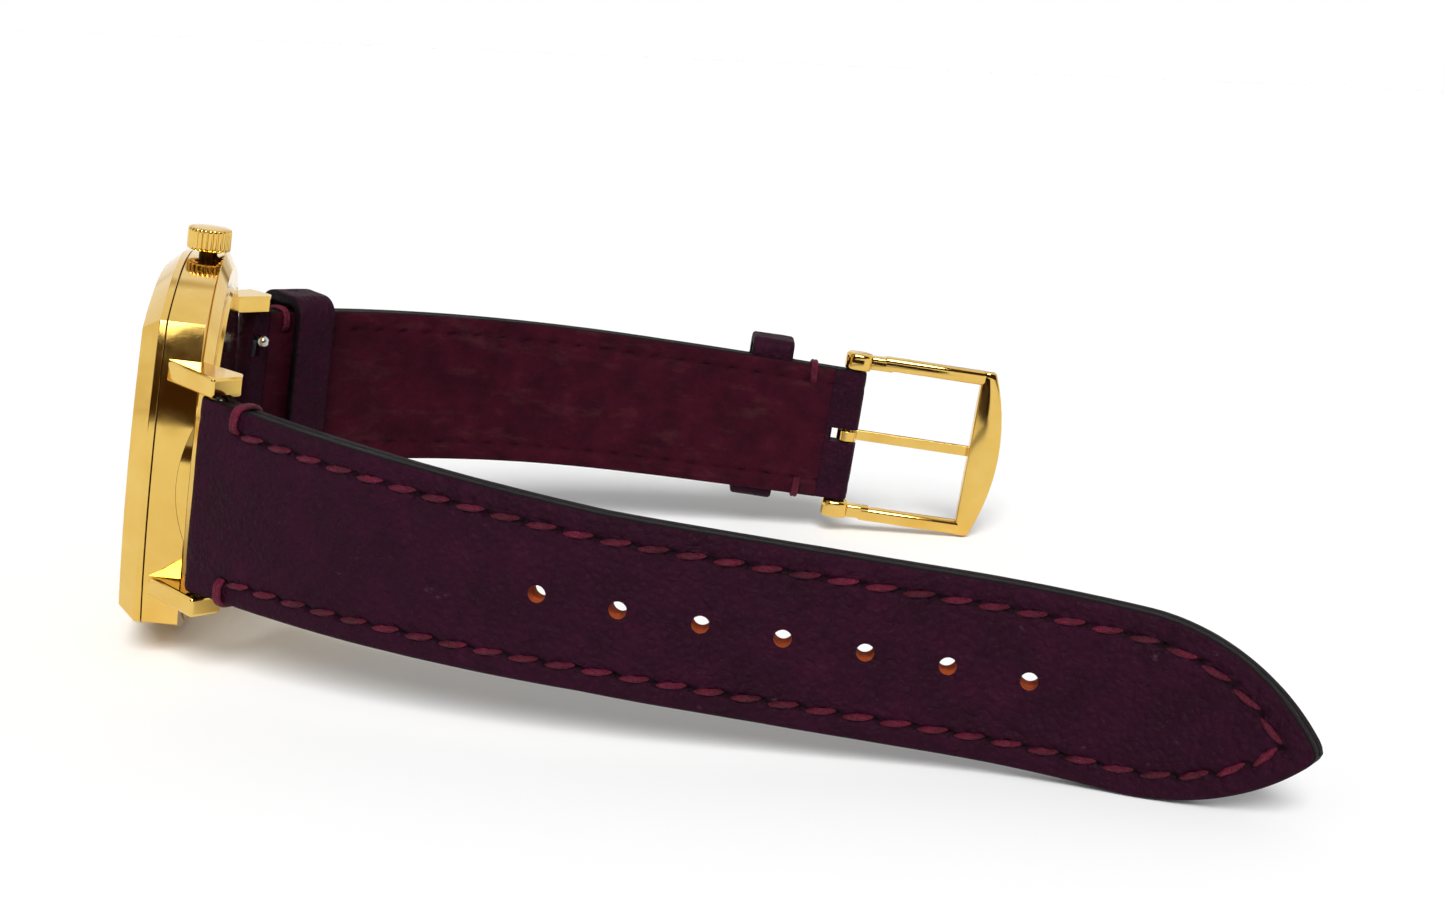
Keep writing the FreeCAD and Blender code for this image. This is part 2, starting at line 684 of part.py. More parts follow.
def short_strap():
    half = size("strap_width") / 2
    thick = size("leather")
    length = size("short_length")
    lining_end = length - size("loop_length")
    outline = short_outline()
    passage = tunnel(short_start_lean, short_runs)
    end = rod_across(size("strap_end"), half, path(short_start_lean, short_runs, 0)[0])
    bar_point = path(short_start_lean, short_runs, length)[0]
    end_half = size("buckle_end_width") / 2
    loop = rod_across(size("leather") + size("tunnel_clearance"), end_half, bar_point)
    bar_hole = rod_across(size("buckle_bar_radius") + size("tunnel_clearance"), 2 * end_half, bar_point)
    outer = band(short_start_lean, short_runs, 0, length, 0, thick, half)
    flap = band(short_start_lean, short_runs, lining_end, length, -thick, 0, half)
    lining = band(short_start_lean, short_runs, size("lining_start"), lining_end, -thick, -size("glue_line"), half)
    slot = Part.makeBox(6, size("tongue_slot"), 6, vector(-3, -size("tongue_slot") / 2, -1.9))
    slot.Placement = local_frame(short_start_lean, short_runs, length)
    pocket_half = size("keeper_width") / 2 + 0.05
    pocket = Part.makeBox(size("keeper_tab") + 0.07, 40, 2 * pocket_half, vector(-0.05, -20, -pocket_half))
    pocket.Placement = local_frame(short_start_lean, short_runs, size("fixed_keeper_place"))
    leather = outer.fuse(flap).common(outline).fuse([end, loop]).cut([passage, bar_hole, slot, pocket])
    node("short_strap_outer", made(leather))
    node("short_strap_lining", made(lining.common(outline).cut(passage)))
    spring_bar("short", short_start_lean, short_runs, FreeCAD.Placement())


def keepers():
    """The stitched keeper beside the buckle and the loose one that slides along the strap."""
    width = ("-keeper_width / 2", "keeper_width / 2")
    strap_half = "buckle_end_width / 2 + 0.1"
    top = "leather + keeper_room"
    ring = cut(
        block(("0", f"{top} + keeper_leather"),
              (f"-({strap_half}) - keeper_side / 2 - keeper_leather", f"{strap_half} + keeper_side * 3 + keeper_leather"), width),
        block(("keeper_tab", top), (f"-({strap_half}) - keeper_side / 2", f"{strap_half} + keeper_side * 3"),
              ("-keeper_width", "keeper_width")),
    )
    node("fixed_keeper", ring, place=local_frame(short_start_lean, short_runs, size("fixed_keeper_place")))
    strap_half = "strap_width / 2 + keeper_side / 2"
    loose = cut(
        block(("-leather - keeper_side - keeper_leather", f"{top} + keeper_leather"),
              (f"-({strap_half}) - keeper_leather", f"{strap_half} + keeper_leather"), width),
        block(("-leather - keeper_side", top), (f"-({strap_half})", strap_half), ("-keeper_width", "keeper_width")),
    )
    node("free_keeper", loose, place=local_frame(short_start_lean, short_runs, size("free_keeper_place")))


def buckle():
    """Frame, tongue and bar, drawn with the bar on Y and the frame along Z."""
    point = path(short_start_lean, short_runs, size("short_length"))[0]
    place = FreeCAD.Placement(point, FreeCAD.Rotation(vector(0, 1, 0), size("buckle_turn")))
    half = "buckle_half_width"
    arms = []
    for sign in ("", "-"):
        low, high = (f"{half} - buckle_arm", half) if sign == "" else (f"-{half}", f"-{half} + buckle_arm")
        inner, outer = (f"{half} - boss_length", half) if sign == "" else (f"-{half}", f"-{half} + boss_length")
        arms.append(cross_rod("boss_radius", inner, outer))
        arms.append(block(("-arm_height * 0.38", "arm_height * 0.38"), (f"{low} + 0.12", f"{high} - 0.12"), ("0", "3")))
        arms.append(block(("-arm_height / 2", "arm_height / 2"), (low, high), ("2.6", "frame_length - crossbar_width")))
    arc_radius = "(buckle_half_width * buckle_half_width + frame_bow * frame_bow) / (2 * frame_bow)"
    crossbar = common(
        block(("-crossbar_height / 2", "crossbar_height / 2"), (f"-{half}", half),
              ("frame_length - crossbar_width - 0.1", "frame_length")),
        thick_rod(arc_radius, "-crossbar_height", "crossbar_height", z=f"frame_length - {arc_radius}"),
    )
    bores = cross_rod("buckle_bar_radius + buckle_clearance", f"-{half} + 0.35", f"{half} - 0.35")
    node("buckle_frame", cut(fuse(crossbar, *arms), bores), place=place)
    node("buckle_bar", cross_rod("buckle_bar_radius", f"-{half} + 0.4", f"{half} - 0.4"), place=place)
    blade_low = "crossbar_height / 2 + 0.04"
    eye = cross_rod("leather + 0.03", "-tongue_width / 2", "tongue_width / 2")
    blade = block((blade_low, f"{blade_low} + tongue_height"), ("-tongue_width / 2", "tongue_width / 2"),
                  ("0", "frame_length - crossbar_width * 0.35"))
    hole = cross_rod("buckle_bar_radius + buckle_clearance", "-5", "5")
    node("buckle_tongue", cut(fuse(eye, blade), hole), place=place)


# standing the watch on its supports

def support_groups():
    """Points that can touch the floor: the back's rim, the buckle and the long strap's edge."""
    half_length = size("case_half_length") + size("rim_overhang")
    half_width = size("case_half_width") + size("rim_overhang")
    rim = []
    for step in range(-30, 31):
        angle = math.radians(-90 + step)
        rim.append(vector(half_length * math.cos(angle), half_width * math.sin(angle), size("rim_height")))
    buckle_place = nodes["buckle_frame"][1]
    corners = []
    for offset in (-1, 1):
        for along in (0, size("frame_length") - size("frame_bow")):
            corners.append(buckle_place.multVec(vector(offset * size("crossbar_height") / 2, -size("buckle_half_width"), along)))
    edge = []
    half = size("tail_width") / 2
    shoulder = size("tail_length") - size("point_length")
    for offset in (-size("leather"), size("leather")):
        for step in range(21):
            point = path(long_start_lean, long_runs, shoulder * (0.6 + 0.02 * step), offset)[0]
            edge.append(vector(-point.x, -half, point.z))
    return rim, corners, edge


def resting_turn():
    """Rotation that lays the three supports level, wrist side towards +X."""
    up = vector(0, 1, 0)
    for _ in range(10):
        rim, corner, edge = [min(group, key=lambda point: point.dot(up)) for group in support_groups()]
        up = (corner - rim).cross(edge - rim)
        up.normalize()
        if up.y < 0:
            up = up * -1
    wrist = vector(0, 0, 1) - up * up.z
    wrist.normalize()
    across = up.cross(wrist)
    matrix = FreeCAD.Matrix(wrist.x, wrist.y, wrist.z, 0, across.x, across.y, across.z, 0, up.x, up.y, up.z, 0, 0, 0, 0, 1)
    return FreeCAD.Placement(matrix)


def stand_up():
    turn = resting_turn()
    low = [1e9] * 3
    high = [-1e9] * 3
    for piece, place in nodes.values():
        piece.Placement = turn.multiply(place)
    doc.recompute()
    for piece, _ in nodes.values():
        for point in piece.Shape.tessellate(0.05)[0]:
            low = [min(a, b) for a, b in zip(low, point)]
            high = [max(a, b) for a, b in zip(high, point)]
    shift = vector(-(low[0] + high[0]) / 2, -(low[1] + high[1]) / 2, -low[2])
    rest = FreeCAD.Placement(shift, FreeCAD.Rotation()).multiply(turn)
    for piece, place in nodes.values():
        piece.Placement = rest.multiply(place)
    doc.recompute()
    print("size", [round(b - a, 2) for a, b in zip(low, high)])
    return rest


def check_document():
    for item in doc.Objects:
        if "Invalid" in item.State or "Error" in item.State:
            raise RuntimeError(f"{item.Name} failed: {item.State}")
    for label, (piece, _) in nodes.items():
        if piece.Shape.isNull() or not piece.Shape.isValid() or not piece.Shape.Solids:
            raise RuntimeError(f"{label} has no valid solid")


case_middle()
case_back()
bezel()
dial()
hands()
motion_work()
movement()
crown()
long_strap()
short_strap()
keepers()
buckle()
doc.recompute()
check_document()
rest = stand_up()
check_document()
os.makedirs("parts", exist_ok=True)
for label, (piece, _) in nodes.items():
    piece.Shape.exportStep(f"parts/{label}.step")
    print(label, len(piece.Shape.Solids), round(piece.Shape.Volume, 2))
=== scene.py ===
import bpy
import bmesh
import json
import math
from mathutils import Matrix, Vector, noise

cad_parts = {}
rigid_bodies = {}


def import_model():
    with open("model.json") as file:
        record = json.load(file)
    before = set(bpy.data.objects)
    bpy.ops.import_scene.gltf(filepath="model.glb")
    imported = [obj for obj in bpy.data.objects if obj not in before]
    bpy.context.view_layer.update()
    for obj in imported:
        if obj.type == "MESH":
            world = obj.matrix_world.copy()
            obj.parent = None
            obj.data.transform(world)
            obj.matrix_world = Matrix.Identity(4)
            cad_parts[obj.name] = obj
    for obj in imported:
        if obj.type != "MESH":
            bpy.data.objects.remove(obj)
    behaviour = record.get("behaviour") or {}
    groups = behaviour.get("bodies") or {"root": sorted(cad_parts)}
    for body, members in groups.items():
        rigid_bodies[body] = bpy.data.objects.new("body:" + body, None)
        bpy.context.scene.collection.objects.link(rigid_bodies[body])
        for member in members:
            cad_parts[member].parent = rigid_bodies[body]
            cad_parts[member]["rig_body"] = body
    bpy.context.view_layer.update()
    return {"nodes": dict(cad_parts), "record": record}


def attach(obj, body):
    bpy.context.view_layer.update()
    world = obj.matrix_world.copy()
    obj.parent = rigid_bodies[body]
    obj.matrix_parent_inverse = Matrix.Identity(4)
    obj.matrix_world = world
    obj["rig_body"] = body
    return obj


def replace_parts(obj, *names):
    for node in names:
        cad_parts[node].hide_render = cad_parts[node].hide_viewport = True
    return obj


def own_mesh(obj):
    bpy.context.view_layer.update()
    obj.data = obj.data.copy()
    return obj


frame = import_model()
mm = 0.001

joints = {joint["name"]: joint for joint in frame["record"]["behaviour"]["joints"]}
crownWay = Vector(joints["crown_turn"]["axis"]).normalized()
wristWay = Vector(joints["minute_turn"]["axis"]).normalized()
noonWay = crownWay.cross(wristWay)  # towards 12 o'clock
dialCentre = Vector(joints["minute_turn"]["pos_m"])
barCentres = [Vector(joints[name]["pos_m"]) for name in ("long_strap_swing", "short_strap_swing")]


def onWatch(x, y, z):
    # millimetres along 12 o'clock, crown and wrist, from the dial axis at the case seam
    return dialCentre + (noonWay * x + crownWay * y + wristWay * z) * mm


# materials

def colour(hexCode):
    parts = [int(hexCode[i:i + 2], 16) / 255 for i in (0, 2, 4)]
    return [p / 12.92 if p <= 0.04045 else ((p + 0.055) / 1.055) ** 2.4 for p in parts] + [1.0]


def addNode(tree, kind, settings=None, links=None):
    made = tree.nodes.new(kind)
    for key, value in (settings or {}).items():
        if isinstance(key, int) or key in made.inputs:
            made.inputs[key].default_value = value
        elif key == "stops":
            ramp = made.color_ramp.elements
            while len(ramp) < len(value):
                ramp.new(0.5)
            for stop, (place, tint) in zip(ramp, value):
                stop.position = place
                stop.color = tint
        else:
            setattr(made, key, value)
    for key, socket in (links or {}).items():
        tree.links.new(socket, made.inputs[key])
    return made


def newMaterial(name):
    material = bpy.data.materials.new(name)
    material.use_nodes = True
    tree = material.node_tree
    tree.nodes.clear()
    shader = addNode(tree, "ShaderNodeBsdfPrincipled")
    addNode(tree, "ShaderNodeOutputMaterial", links={"Surface": shader.outputs[0]})
    return material, tree, shader


def grey(value):
    return [value, value, value, 1.0]


def leather(name, settings):
    # vegetable-tanned goat, dyed through and plated: a fine pebbled grain with a low waxy shine
    material, tree, shader = newMaterial(name)
    lay = addNode(tree, "ShaderNodeAttribute", {"attribute_name": "lay"})
    cloud = addNode(tree, "ShaderNodeTexNoise", {"Scale": 300.0, "Detail": 6.0, "Roughness": 0.65},
        {"Vector": lay.outputs["Vector"]})
    pebble = addNode(tree, "ShaderNodeTexVoronoi", {"Scale": 1000 / settings["grain"], "Randomness": 1.0},
        {"Vector": lay.outputs["Vector"]})
    wander = addNode(tree, "ShaderNodeTexNoise", {"Scale": 1000 / settings["crease"], "Detail": 4.0,
        "Roughness": 0.65, "Distortion": 1.2}, {"Vector": lay.outputs["Vector"]})
    tint = addNode(tree, "ShaderNodeValToRGB", {"stops": [(0.30, colour(settings["dark"])),
        (0.62, colour(settings["main"])), (0.80, colour(settings["light"]))]}, {"Fac": cloud.outputs["Fac"]})
    drag = addNode(tree, "ShaderNodeMapping", {"Scale": settings["scuffWay"]},
        {"Vector": lay.outputs["Vector"]})
    speck = addNode(tree, "ShaderNodeTexNoise", {"Scale": 1000 / settings["scuff"], "Detail": 8.0,
        "Roughness": 0.7}, {"Vector": drag.outputs["Vector"]})
    worn = addNode(tree, "ShaderNodeMapRange", {"From Min": settings["wearFrom"],
        "From Max": settings["wearFrom"] + 0.14, "To Max": settings["wear"]}, {"Value": speck.outputs["Fac"]})
    mixed = addNode(tree, "ShaderNodeMix", {"data_type": "RGBA", 7: colour(settings["worn"])},
        {0: worn.outputs[0], 6: tint.outputs["Color"]})
    # painted shade: the colour is mixed towards near-black in the needle slits, by a weight stored on the
    # vertices
    pit = addNode(tree, "ShaderNodeAttribute", {"attribute_name": "pit"})
    slitShaded = addNode(tree, "ShaderNodeMix", {"data_type": "RGBA", 7: colour("060205")},
        {0: pit.outputs["Fac"], 6: mixed.outputs[2]})
    tree.links.new(slitShaded.outputs[2], shader.inputs["Base Color"])
    gloss = addNode(tree, "ShaderNodeMapRange", {"From Min": 0.3, "From Max": 0.7,
        "To Min": settings["rough"] - 0.08, "To Max": settings["rough"] + 0.1}, {"Value": cloud.outputs["Fac"]})
    tree.links.new(gloss.outputs[0], shader.inputs["Roughness"])
    fine = addNode(tree, "ShaderNodeBump", {"Strength": settings["pebbleBump"], "Distance": 0.00018},
        {"Height": pebble.outputs["Distance"]})
    soft = addNode(tree, "ShaderNodeBump", {"Strength": settings["creaseBump"], "Distance": 0.0004},
        {"Height": wander.outputs["Fac"], "Normal": fine.outputs[0]})
    tree.links.new(soft.outputs[0], shader.inputs["Normal"])
    shader.inputs["Specular IOR Level"].default_value = settings["shine"]
    return material


def polished(name, settings):
    # plated and buffed metal: mirror bright, with hairlines and finger marks that only dull the shine
    material, tree, shader = newMaterial(name)
    place = addNode(tree, "ShaderNodeTexCoord")
    smudge = addNode(tree, "ShaderNodeTexNoise", {"Scale": 1000 / 4.0, "Detail": 4.0, "Roughness": 0.6},
        {"Vector": place.outputs["Object"]})
    turned = addNode(tree, "ShaderNodeMapping", {"Scale": settings["hairWay"]},
        {"Vector": place.outputs["Object"]})
    hair = addNode(tree, "ShaderNodeTexNoise", {"Scale": 1000 / settings["hair"], "Detail": 3.0,
        "Roughness": 0.6}, {"Vector": turned.outputs["Vector"]})
    gloss = addNode(tree, "ShaderNodeMapRange", {"From Min": 0.35, "From Max": 0.75,
        "To Min": settings["rough"], "To Max": settings["rough"] + settings["smudge"]},
        {"Value": smudge.outputs["Fac"]})
    tree.links.new(gloss.outputs[0], shader.inputs["Roughness"])
    tint = addNode(tree, "ShaderNodeMix", {"data_type": "RGBA", 6: colour(settings["main"]),
        7: colour(settings["deep"])}, {0: smudge.outputs["Fac"]})
    tree.links.new(tint.outputs[2], shader.inputs["Base Color"])
    bump = addNode(tree, "ShaderNodeBump", {"Strength": settings["bump"], "Distance": 0.00003},
        {"Height": hair.outputs["Fac"]})
    tree.links.new(bump.outputs[0], shader.inputs["Normal"])
    shader.inputs["Metallic"].default_value = 1.0
    return material


def plain(name, settings):
    # moulded, painted or machined small parts: an even colour with a fine surface texture
    material, tree, shader = newMaterial(name)
    place = addNode(tree, "ShaderNodeTexCoord")
    turned = addNode(tree, "ShaderNodeMapping", {"Scale": settings.get("way", (1, 1, 1))},
        {"Vector": place.outputs["Object"]})
    texture = addNode(tree, "ShaderNodeTexNoise", {"Scale": 1000 / settings["size"], "Detail": 4.0,
        "Roughness": 0.6}, {"Vector": turned.outputs["Vector"]})
    tint = addNode(tree, "ShaderNodeMix", {"data_type": "RGBA", 6: colour(settings["main"]),
        7: colour(settings["second"])}, {0: texture.outputs["Fac"]})
    tree.links.new(tint.outputs[2], shader.inputs["Base Color"])
    gloss = addNode(tree, "ShaderNodeMapRange", {"To Min": settings["rough"] - 0.05,
        "To Max": settings["rough"] + 0.08}, {"Value": texture.outputs["Fac"]})
    tree.links.new(gloss.outputs[0], shader.inputs["Roughness"])
    bump = addNode(tree, "ShaderNodeBump", {"Strength": settings.get("bump", 0.2), "Distance": 0.00002},
        {"Height": texture.outputs["Fac"]})
    tree.links.new(bump.outputs[0], shader.inputs["Normal"])
    shader.inputs["Metallic"].default_value = settings.get("metal", 0.0)
    return material


# plum goatskin, plated: a small pebble that breaks up a low sheen, with a few rubbed specks
plumGoat = leather("plumGoatskin", {
    "dark": "1E0614", "main": "29081B", "light": "351024", "worn": "634954", "wearFrom": 0.64, "wear": 0.45,
    "scuff": 1.4, "scuffWay": (0.8, 1.2, 1), "grain": 0.62, "crease": 1.3, "rough": 0.55, "shine": 0.06,
    "pebbleBump": 1.0, "creaseBump": 0.9})
# smooth calf against the wrist: nearly matt, with drawn-out scuffs
burgundyLining = leather("burgundyCalfLining", {
    "dark": "21040F", "main": "340918", "light": "421323", "worn": "563330", "wearFrom": 0.53, "wear": 0.18,
    "scuff": 3.4, "scuffWay": (0.55, 1.5, 1), "grain": 0.5, "crease": 2.6, "rough": 0.7, "shine": 0.05,
    "pebbleBump": 0.3, "creaseBump": 0.5})
# ink brushed over the cut edge in coats: nearly black, a little uneven
edgePaint = leather("edgeInk", {
    "dark": "070406", "main": "0E070B", "light": "1A0F16", "worn": "4F4047", "wearFrom": 0.60, "wear": 0.5,
    "scuff": 2.2, "scuffWay": (0.3, 1, 1), "grain": 0.6, "crease": 0.9, "rough": 0.6, "shine": 0.08,
    "pebbleBump": 0.2, "creaseBump": 0.4})
# undyed tan core laid bare by the hole punch: warm, fibrous and dry
rawLeather = leather("rawCutLeather", {
    "dark": "9A4218", "main": "D8622A", "light": "E88A4A", "worn": "E0A070", "wearFrom": 0.66, "wear": 0.4,
    "scuff": 0.5, "scuffWay": (1, 1, 1), "grain": 0.15, "crease": 0.4, "rough": 0.8, "shine": 0.2,
    "pebbleBump": 0.8, "creaseBump": 0.8})
# waxed linen twist: wine red, with the fibres catching a dull light
thread = leather("waxedLinenThread", {
    "dark": "350413", "main": "620A2A", "light": "7A1C3A", "worn": "7D4658", "wearFrom": 0.62, "wear": 0.4,
    "scuff": 0.5, "scuffWay": (1, 1, 1), "grain": 0.22, "crease": 0.3, "rough": 0.55, "shine": 0.25,
    "pebbleBump": 0.8, "creaseBump": 0.8})

# yellow gold plate over buffed brass: a mirror that takes its darks from the room
goldPlate = polished("polishedGoldPlate", {
    "main": "EBCA76", "deep": "DBAC4A", "rough": 0.06, "smudge": 0.10,
    "hair": 0.5, "hairWay": (1, 1, 0.06), "bump": 0.04})
# lathe-turned stainless steel: cool and a little softer than the plate
steel = polished("turnedSteel", {
    "main": "D2D3D5", "deep": "B8BABD", "rough": 0.18, "smudge": 0.12,
    "hair": 0.3, "hairWay": (1, 1, 1), "bump": 0.1})
# dark plate painted as the shade in the seam recess: the seam reads as a thin dark line
paintedSeamShade = polished("unbuffedPlateInSeam", {
    "main": "4A3412", "deep": "2A1C0A", "rough": 0.5, "smudge": 0.2,
    "hair": 0.4, "hairWay": (1, 1, 1), "bump": 0.1})

slotFinish = {
    "gold_plate": goldPlate,
    "steel": steel,
    "grain_leather": plumGoat,
    "lining_leather": burgundyLining,
    # soft and light-drinking
    "rubber": plain("mouldedNitrileRubber", {
        "main": "17171A", "second": "242428", "rough": 0.6, "size": 0.6}),
    # lacquered silvering: a pale satin glow
    "dial_metal": plain("silveredDialBrass", {
        "main": "EFEBDF", "second": "E3DDCB", "rough": 0.32, "size": 0.5, "metal": 0.4, "bump": 0.1}),
    # bare cut brass with tool lines
    "brass": plain("machinedBrass", {
        "main": "C9A24A", "second": "B58B36", "rough": 0.28, "size": 0.5, "metal": 1.0, "way": (1, 1, 8)}),
    # off-white and slightly waxy
    "plastic": plain("mouldedAcetal", {
        "main": "D8D4C6", "second": "C9C4B4", "rough": 0.45, "size": 0.8}),
    # fine parallel turns under clear enamel
    "copper": plain("enamelledCopperWire", {
        "main": "B4652F", "second": "8E4A1E", "rough": 0.3, "size": 0.1, "metal": 1.0, "way": (1, 12, 1)}),
    # green resist over glass cloth
    "board": plain("glassFibreBoard", {
        "main": "1F4D2E", "second": "2B6139", "rough": 0.4, "size": 0.4}),
}


def crystalGlass():
    # flat sapphire disc: clear and hard, with a crisp reflection
    material, tree, shader = newMaterial("sapphireCrystal")
    place = addNode(tree, "ShaderNodeTexCoord")
    haze = addNode(tree, "ShaderNodeTexNoise", {"Scale": 180.0, "Detail": 3.0},
        {"Vector": place.outputs["Object"]})
    gloss = addNode(tree, "ShaderNodeMapRange", {"From Min": 0.4, "From Max": 0.8, "To Min": 0.01,
        "To Max": 0.04}, {"Value": haze.outputs["Fac"]})
    tree.links.new(gloss.outputs[0], shader.inputs["Roughness"])
    shader.inputs["Base Color"].default_value = colour("FBFCFD")
    shader.inputs["Transmission Weight"].default_value = 1.0
    shader.inputs["IOR"].default_value = 1.76
    return material


slotFinish["crystal"] = crystalGlass()
slotOf = {row["node"]: row["material_slot"] for row in frame["record"]["subparts"]}
for name, item in frame["nodes"].items():
    item.data.materials.clear()
    item.data.materials.append(slotFinish[slotOf[name]])
print("materials ready", len(bpy.data.materials))


def finishPiece(name, bm, body, materials, sharp=35):
    # smooth faces with sharp edges kept, then the piece rides its body
    for edge in bm.edges:
        edge.smooth = len(edge.link_faces) == 2 and edge.calc_face_angle(0) < math.radians(sharp)
    for face in bm.faces:
        face.smooth = True
    mesh = bpy.data.meshes.new(name)
    bm.to_mesh(mesh)
    bm.free()
    for material in materials:
        mesh.materials.append(material)
    piece = bpy.data.objects.new(name, mesh)
    bpy.context.collection.objects.link(piece)
    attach(piece, body)
    return piece


def dressCopy(node, settings):
    # the same shape with soft worn edges in place of knife edges
    bm = bmesh.new()
    bm.from_mesh(frame["nodes"][node].data)
    bmesh.ops.remove_doubles(bm, verts=bm.verts, dist=0.000004)
    bmesh.ops.dissolve_limit(bm, angle_limit=math.radians(0.6), verts=bm.verts, edges=bm.edges,
        delimit={"NORMAL"})
    if "lugRound" in settings:
        rims = []
        for edge in bm.edges:
            ends = [vert.co - dialCentre for vert in edge.verts]
            inner, outer = (side * mm for side in settings["lugSides"])
            inLug = all(inner < abs(end.dot(crownWay)) < outer for end in ends)
            beyond = inLug and max(abs(end.dot(noonWay)) for end in ends) > settings["lugFrom"] * mm
            offBar = all((vert.co - pin).cross(crownWay).length > 0.9 * mm
                for pin in barCentres for vert in edge.verts)
            if beyond and offBar and edge.is_manifold and edge.calc_face_angle(0) > math.radians(28):
                rims.append(edge)
        bmesh.ops.bevel(bm, geom=rims, offset=settings["lugRound"] * mm, segments=3, profile=0.5,
            affect="EDGES", material=-1, clamp_overlap=False)
    # faces in the band at the case seam take the dark plate painted as the shade in the seam recess
    if "seam" in settings:
        low, high = settings["seam"]
        for face in bm.faces:
            away = (face.calc_center_median() - dialCentre).dot(wristWay) / mm
            if low < away < high and abs(face.normal.dot(wristWay)) < 0.6:
                face.material_index = 1
    body = frame["nodes"][node]["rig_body"]
    piece = finishPiece(settings["name"], bm, body, [slotFinish[slotOf[node]], paintedSeamShade],
        sharp=settings["sharp"])
    soften = piece.modifiers.new("softEdges", "BEVEL")
    soften.width = settings["edge"] * mm
    soften.segments = 2
    soften.limit_method = "ANGLE"
    soften.angle_limit = math.radians(settings["sharp"])
    soften.use_clamp_overlap = True
    soften.harden_normals = True
    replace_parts(piece, node)


# straps: each is drawn flat, then laid along its bend. s runs from the bar, w across, n to the grain side

strapPlan = {
    "long": {
        "joint": "long_strap_swing", "outward": -1, "startLean": 43.8,
        "runs": [(45.0, 13.5), (22.0, 12.5), (30.6, 45.0)],
        "half": 8.85, "endHalf": 7.6, "taper": 38.0, "length": 97.6, "point": 15.6,
        "holes": [33.6 + 6.74 * i for i in range(7)], "holeRadius": 0.75,
    },
    "short": {
        "joint": "short_strap_swing", "outward": 1, "startLean": 45.2,
        "runs": [(48.0, -3.8), (26.2, -10.8)],
        "half": 8.85, "endHalf": 8.05, "taper": 75.7, "length": 75.7, "point": 0,
        "holes": [], "holeRadius": 0.75, "keeperAt": 65.2,
    },
}
strapBuild = {
    "thick": 1.2, "rowStep": 0.4,
    "lugRoll": 1.45, "tunnel": 0.78, "rollMean": 1.1, "flap": 1.55, "liningFrom": 1.65,
    "buckleTunnel": 0.63, "buckleRoll": 1.24, "buckleRollMean": 0.93, "buckleFlap": 2.7, "slotHalf": 0.85,
    "stitchInset": 2.05, "stitchPitch": 3.1, "stitchLength": 2.6, "stitchThick": 0.62, "stitchSlant": 9.0,
    "firstStitch": 4.0, "buckleTack": 70.4,
}


def bendAt(plan, s):
    x = z = 0.0
    lean = math.radians(plan["startLean"])
    left = s
    for index, (length, endLean) in enumerate(plan["runs"]):
        bend = (math.radians(endLean) - lean) / length
        step = left if index == len(plan["runs"]) - 1 else min(left, length)
        newLean = lean + bend * step
        x += (math.cos(lean) - math.cos(newLean)) / bend
        z += (math.sin(newLean) - math.sin(lean)) / bend
        lean = newLean
        left -= step
        if left <= 0:
            break
    return x, z, lean


def onStrap(plan, s, w, n):
    x, z, lean = bendAt(plan, s)
    outward = noonWay * plan["outward"]
    across = crownWay * plan["outward"]
    grainWay = outward * math.cos(lean) - wristWay * math.sin(lean)
    start = Vector(joints[plan["joint"]]["pos_m"])
    return start + (outward * x + wristWay * z + grainWay * n + across * w) * mm


def halfWidth(plan, s):
    return plan["half"] - (plan["half"] - plan["endHalf"]) * min(max(s, 0) / plan["taper"], 1)


def outlineAt(plan, s, inset):
    # place on the line that runs inset inside the edge, where s counts along the strap's own rows
    shoulder = plan["length"] - plan["point"]
    if not plan["point"] or s <= shoulder:
        return s, max(halfWidth(plan, s) - inset, 0)
    half = plan["endHalf"]
    radius = (plan["point"] ** 2 + half ** 2) / (2 * half)
    inset = min(inset, half)
    reach = math.sqrt(max((radius - inset) ** 2 - (radius - half) ** 2, 0))
    along = reach * (s - shoulder) / plan["point"]
    w = half - radius + math.sqrt(max((radius - inset) ** 2 - along ** 2, 0))
    blunt = 0.3 * max(0, 1 - abs(w) / 1.0) ** 2 * min(1, max(0, (s - shoulder) / plan["point"] - 0.5) * 2)
    return shoulder + along - blunt, max(w, 0)


def stitchLine(plan, inset, first, last):
    # evenly spaced needle holes along one side, as (s, w)
    points = []
    steps = 4000
    walked = 0.0
    before = None
    spots = []
    for i in range(steps + 1):
        here = outlineAt(plan, first + (last - first) * i / steps, inset)
        if before:
            walked += math.dist(here, before)
        points.append((walked, here))
        before = here
    count = round(points[-1][0] / strapBuild["stitchPitch"])
    pitch = points[-1][0] / count
    index = 0
    for k in range(count + 1):
        while index < len(points) - 1 and points[index][0] < k * pitch:
            index += 1
        spots.append(points[index][1])
    return spots


def smooth(value):
    value = min(max(value, 0), 1)
    return value * value * (3 - 2 * value)


def slitGap(along, across):
    # squared distance from a needle slit, which lies nearly along the seam
    a = along * 0.95 + across * 0.3
    b = across * 0.95 - along * 0.3
    return a * a / 0.32 + b * b / 0.06


grainRelief = {
    "edgeDrop": 0.16, "edgeReach": 0.7, "swell": 0.10, "ripple": 0.035, "channel": 0.10, "channelWide": 0.4,
    "slitLip": 0.05, "slitDeep": 0.28, "holeLip": 0.07, "holeDip": 0.10,
}


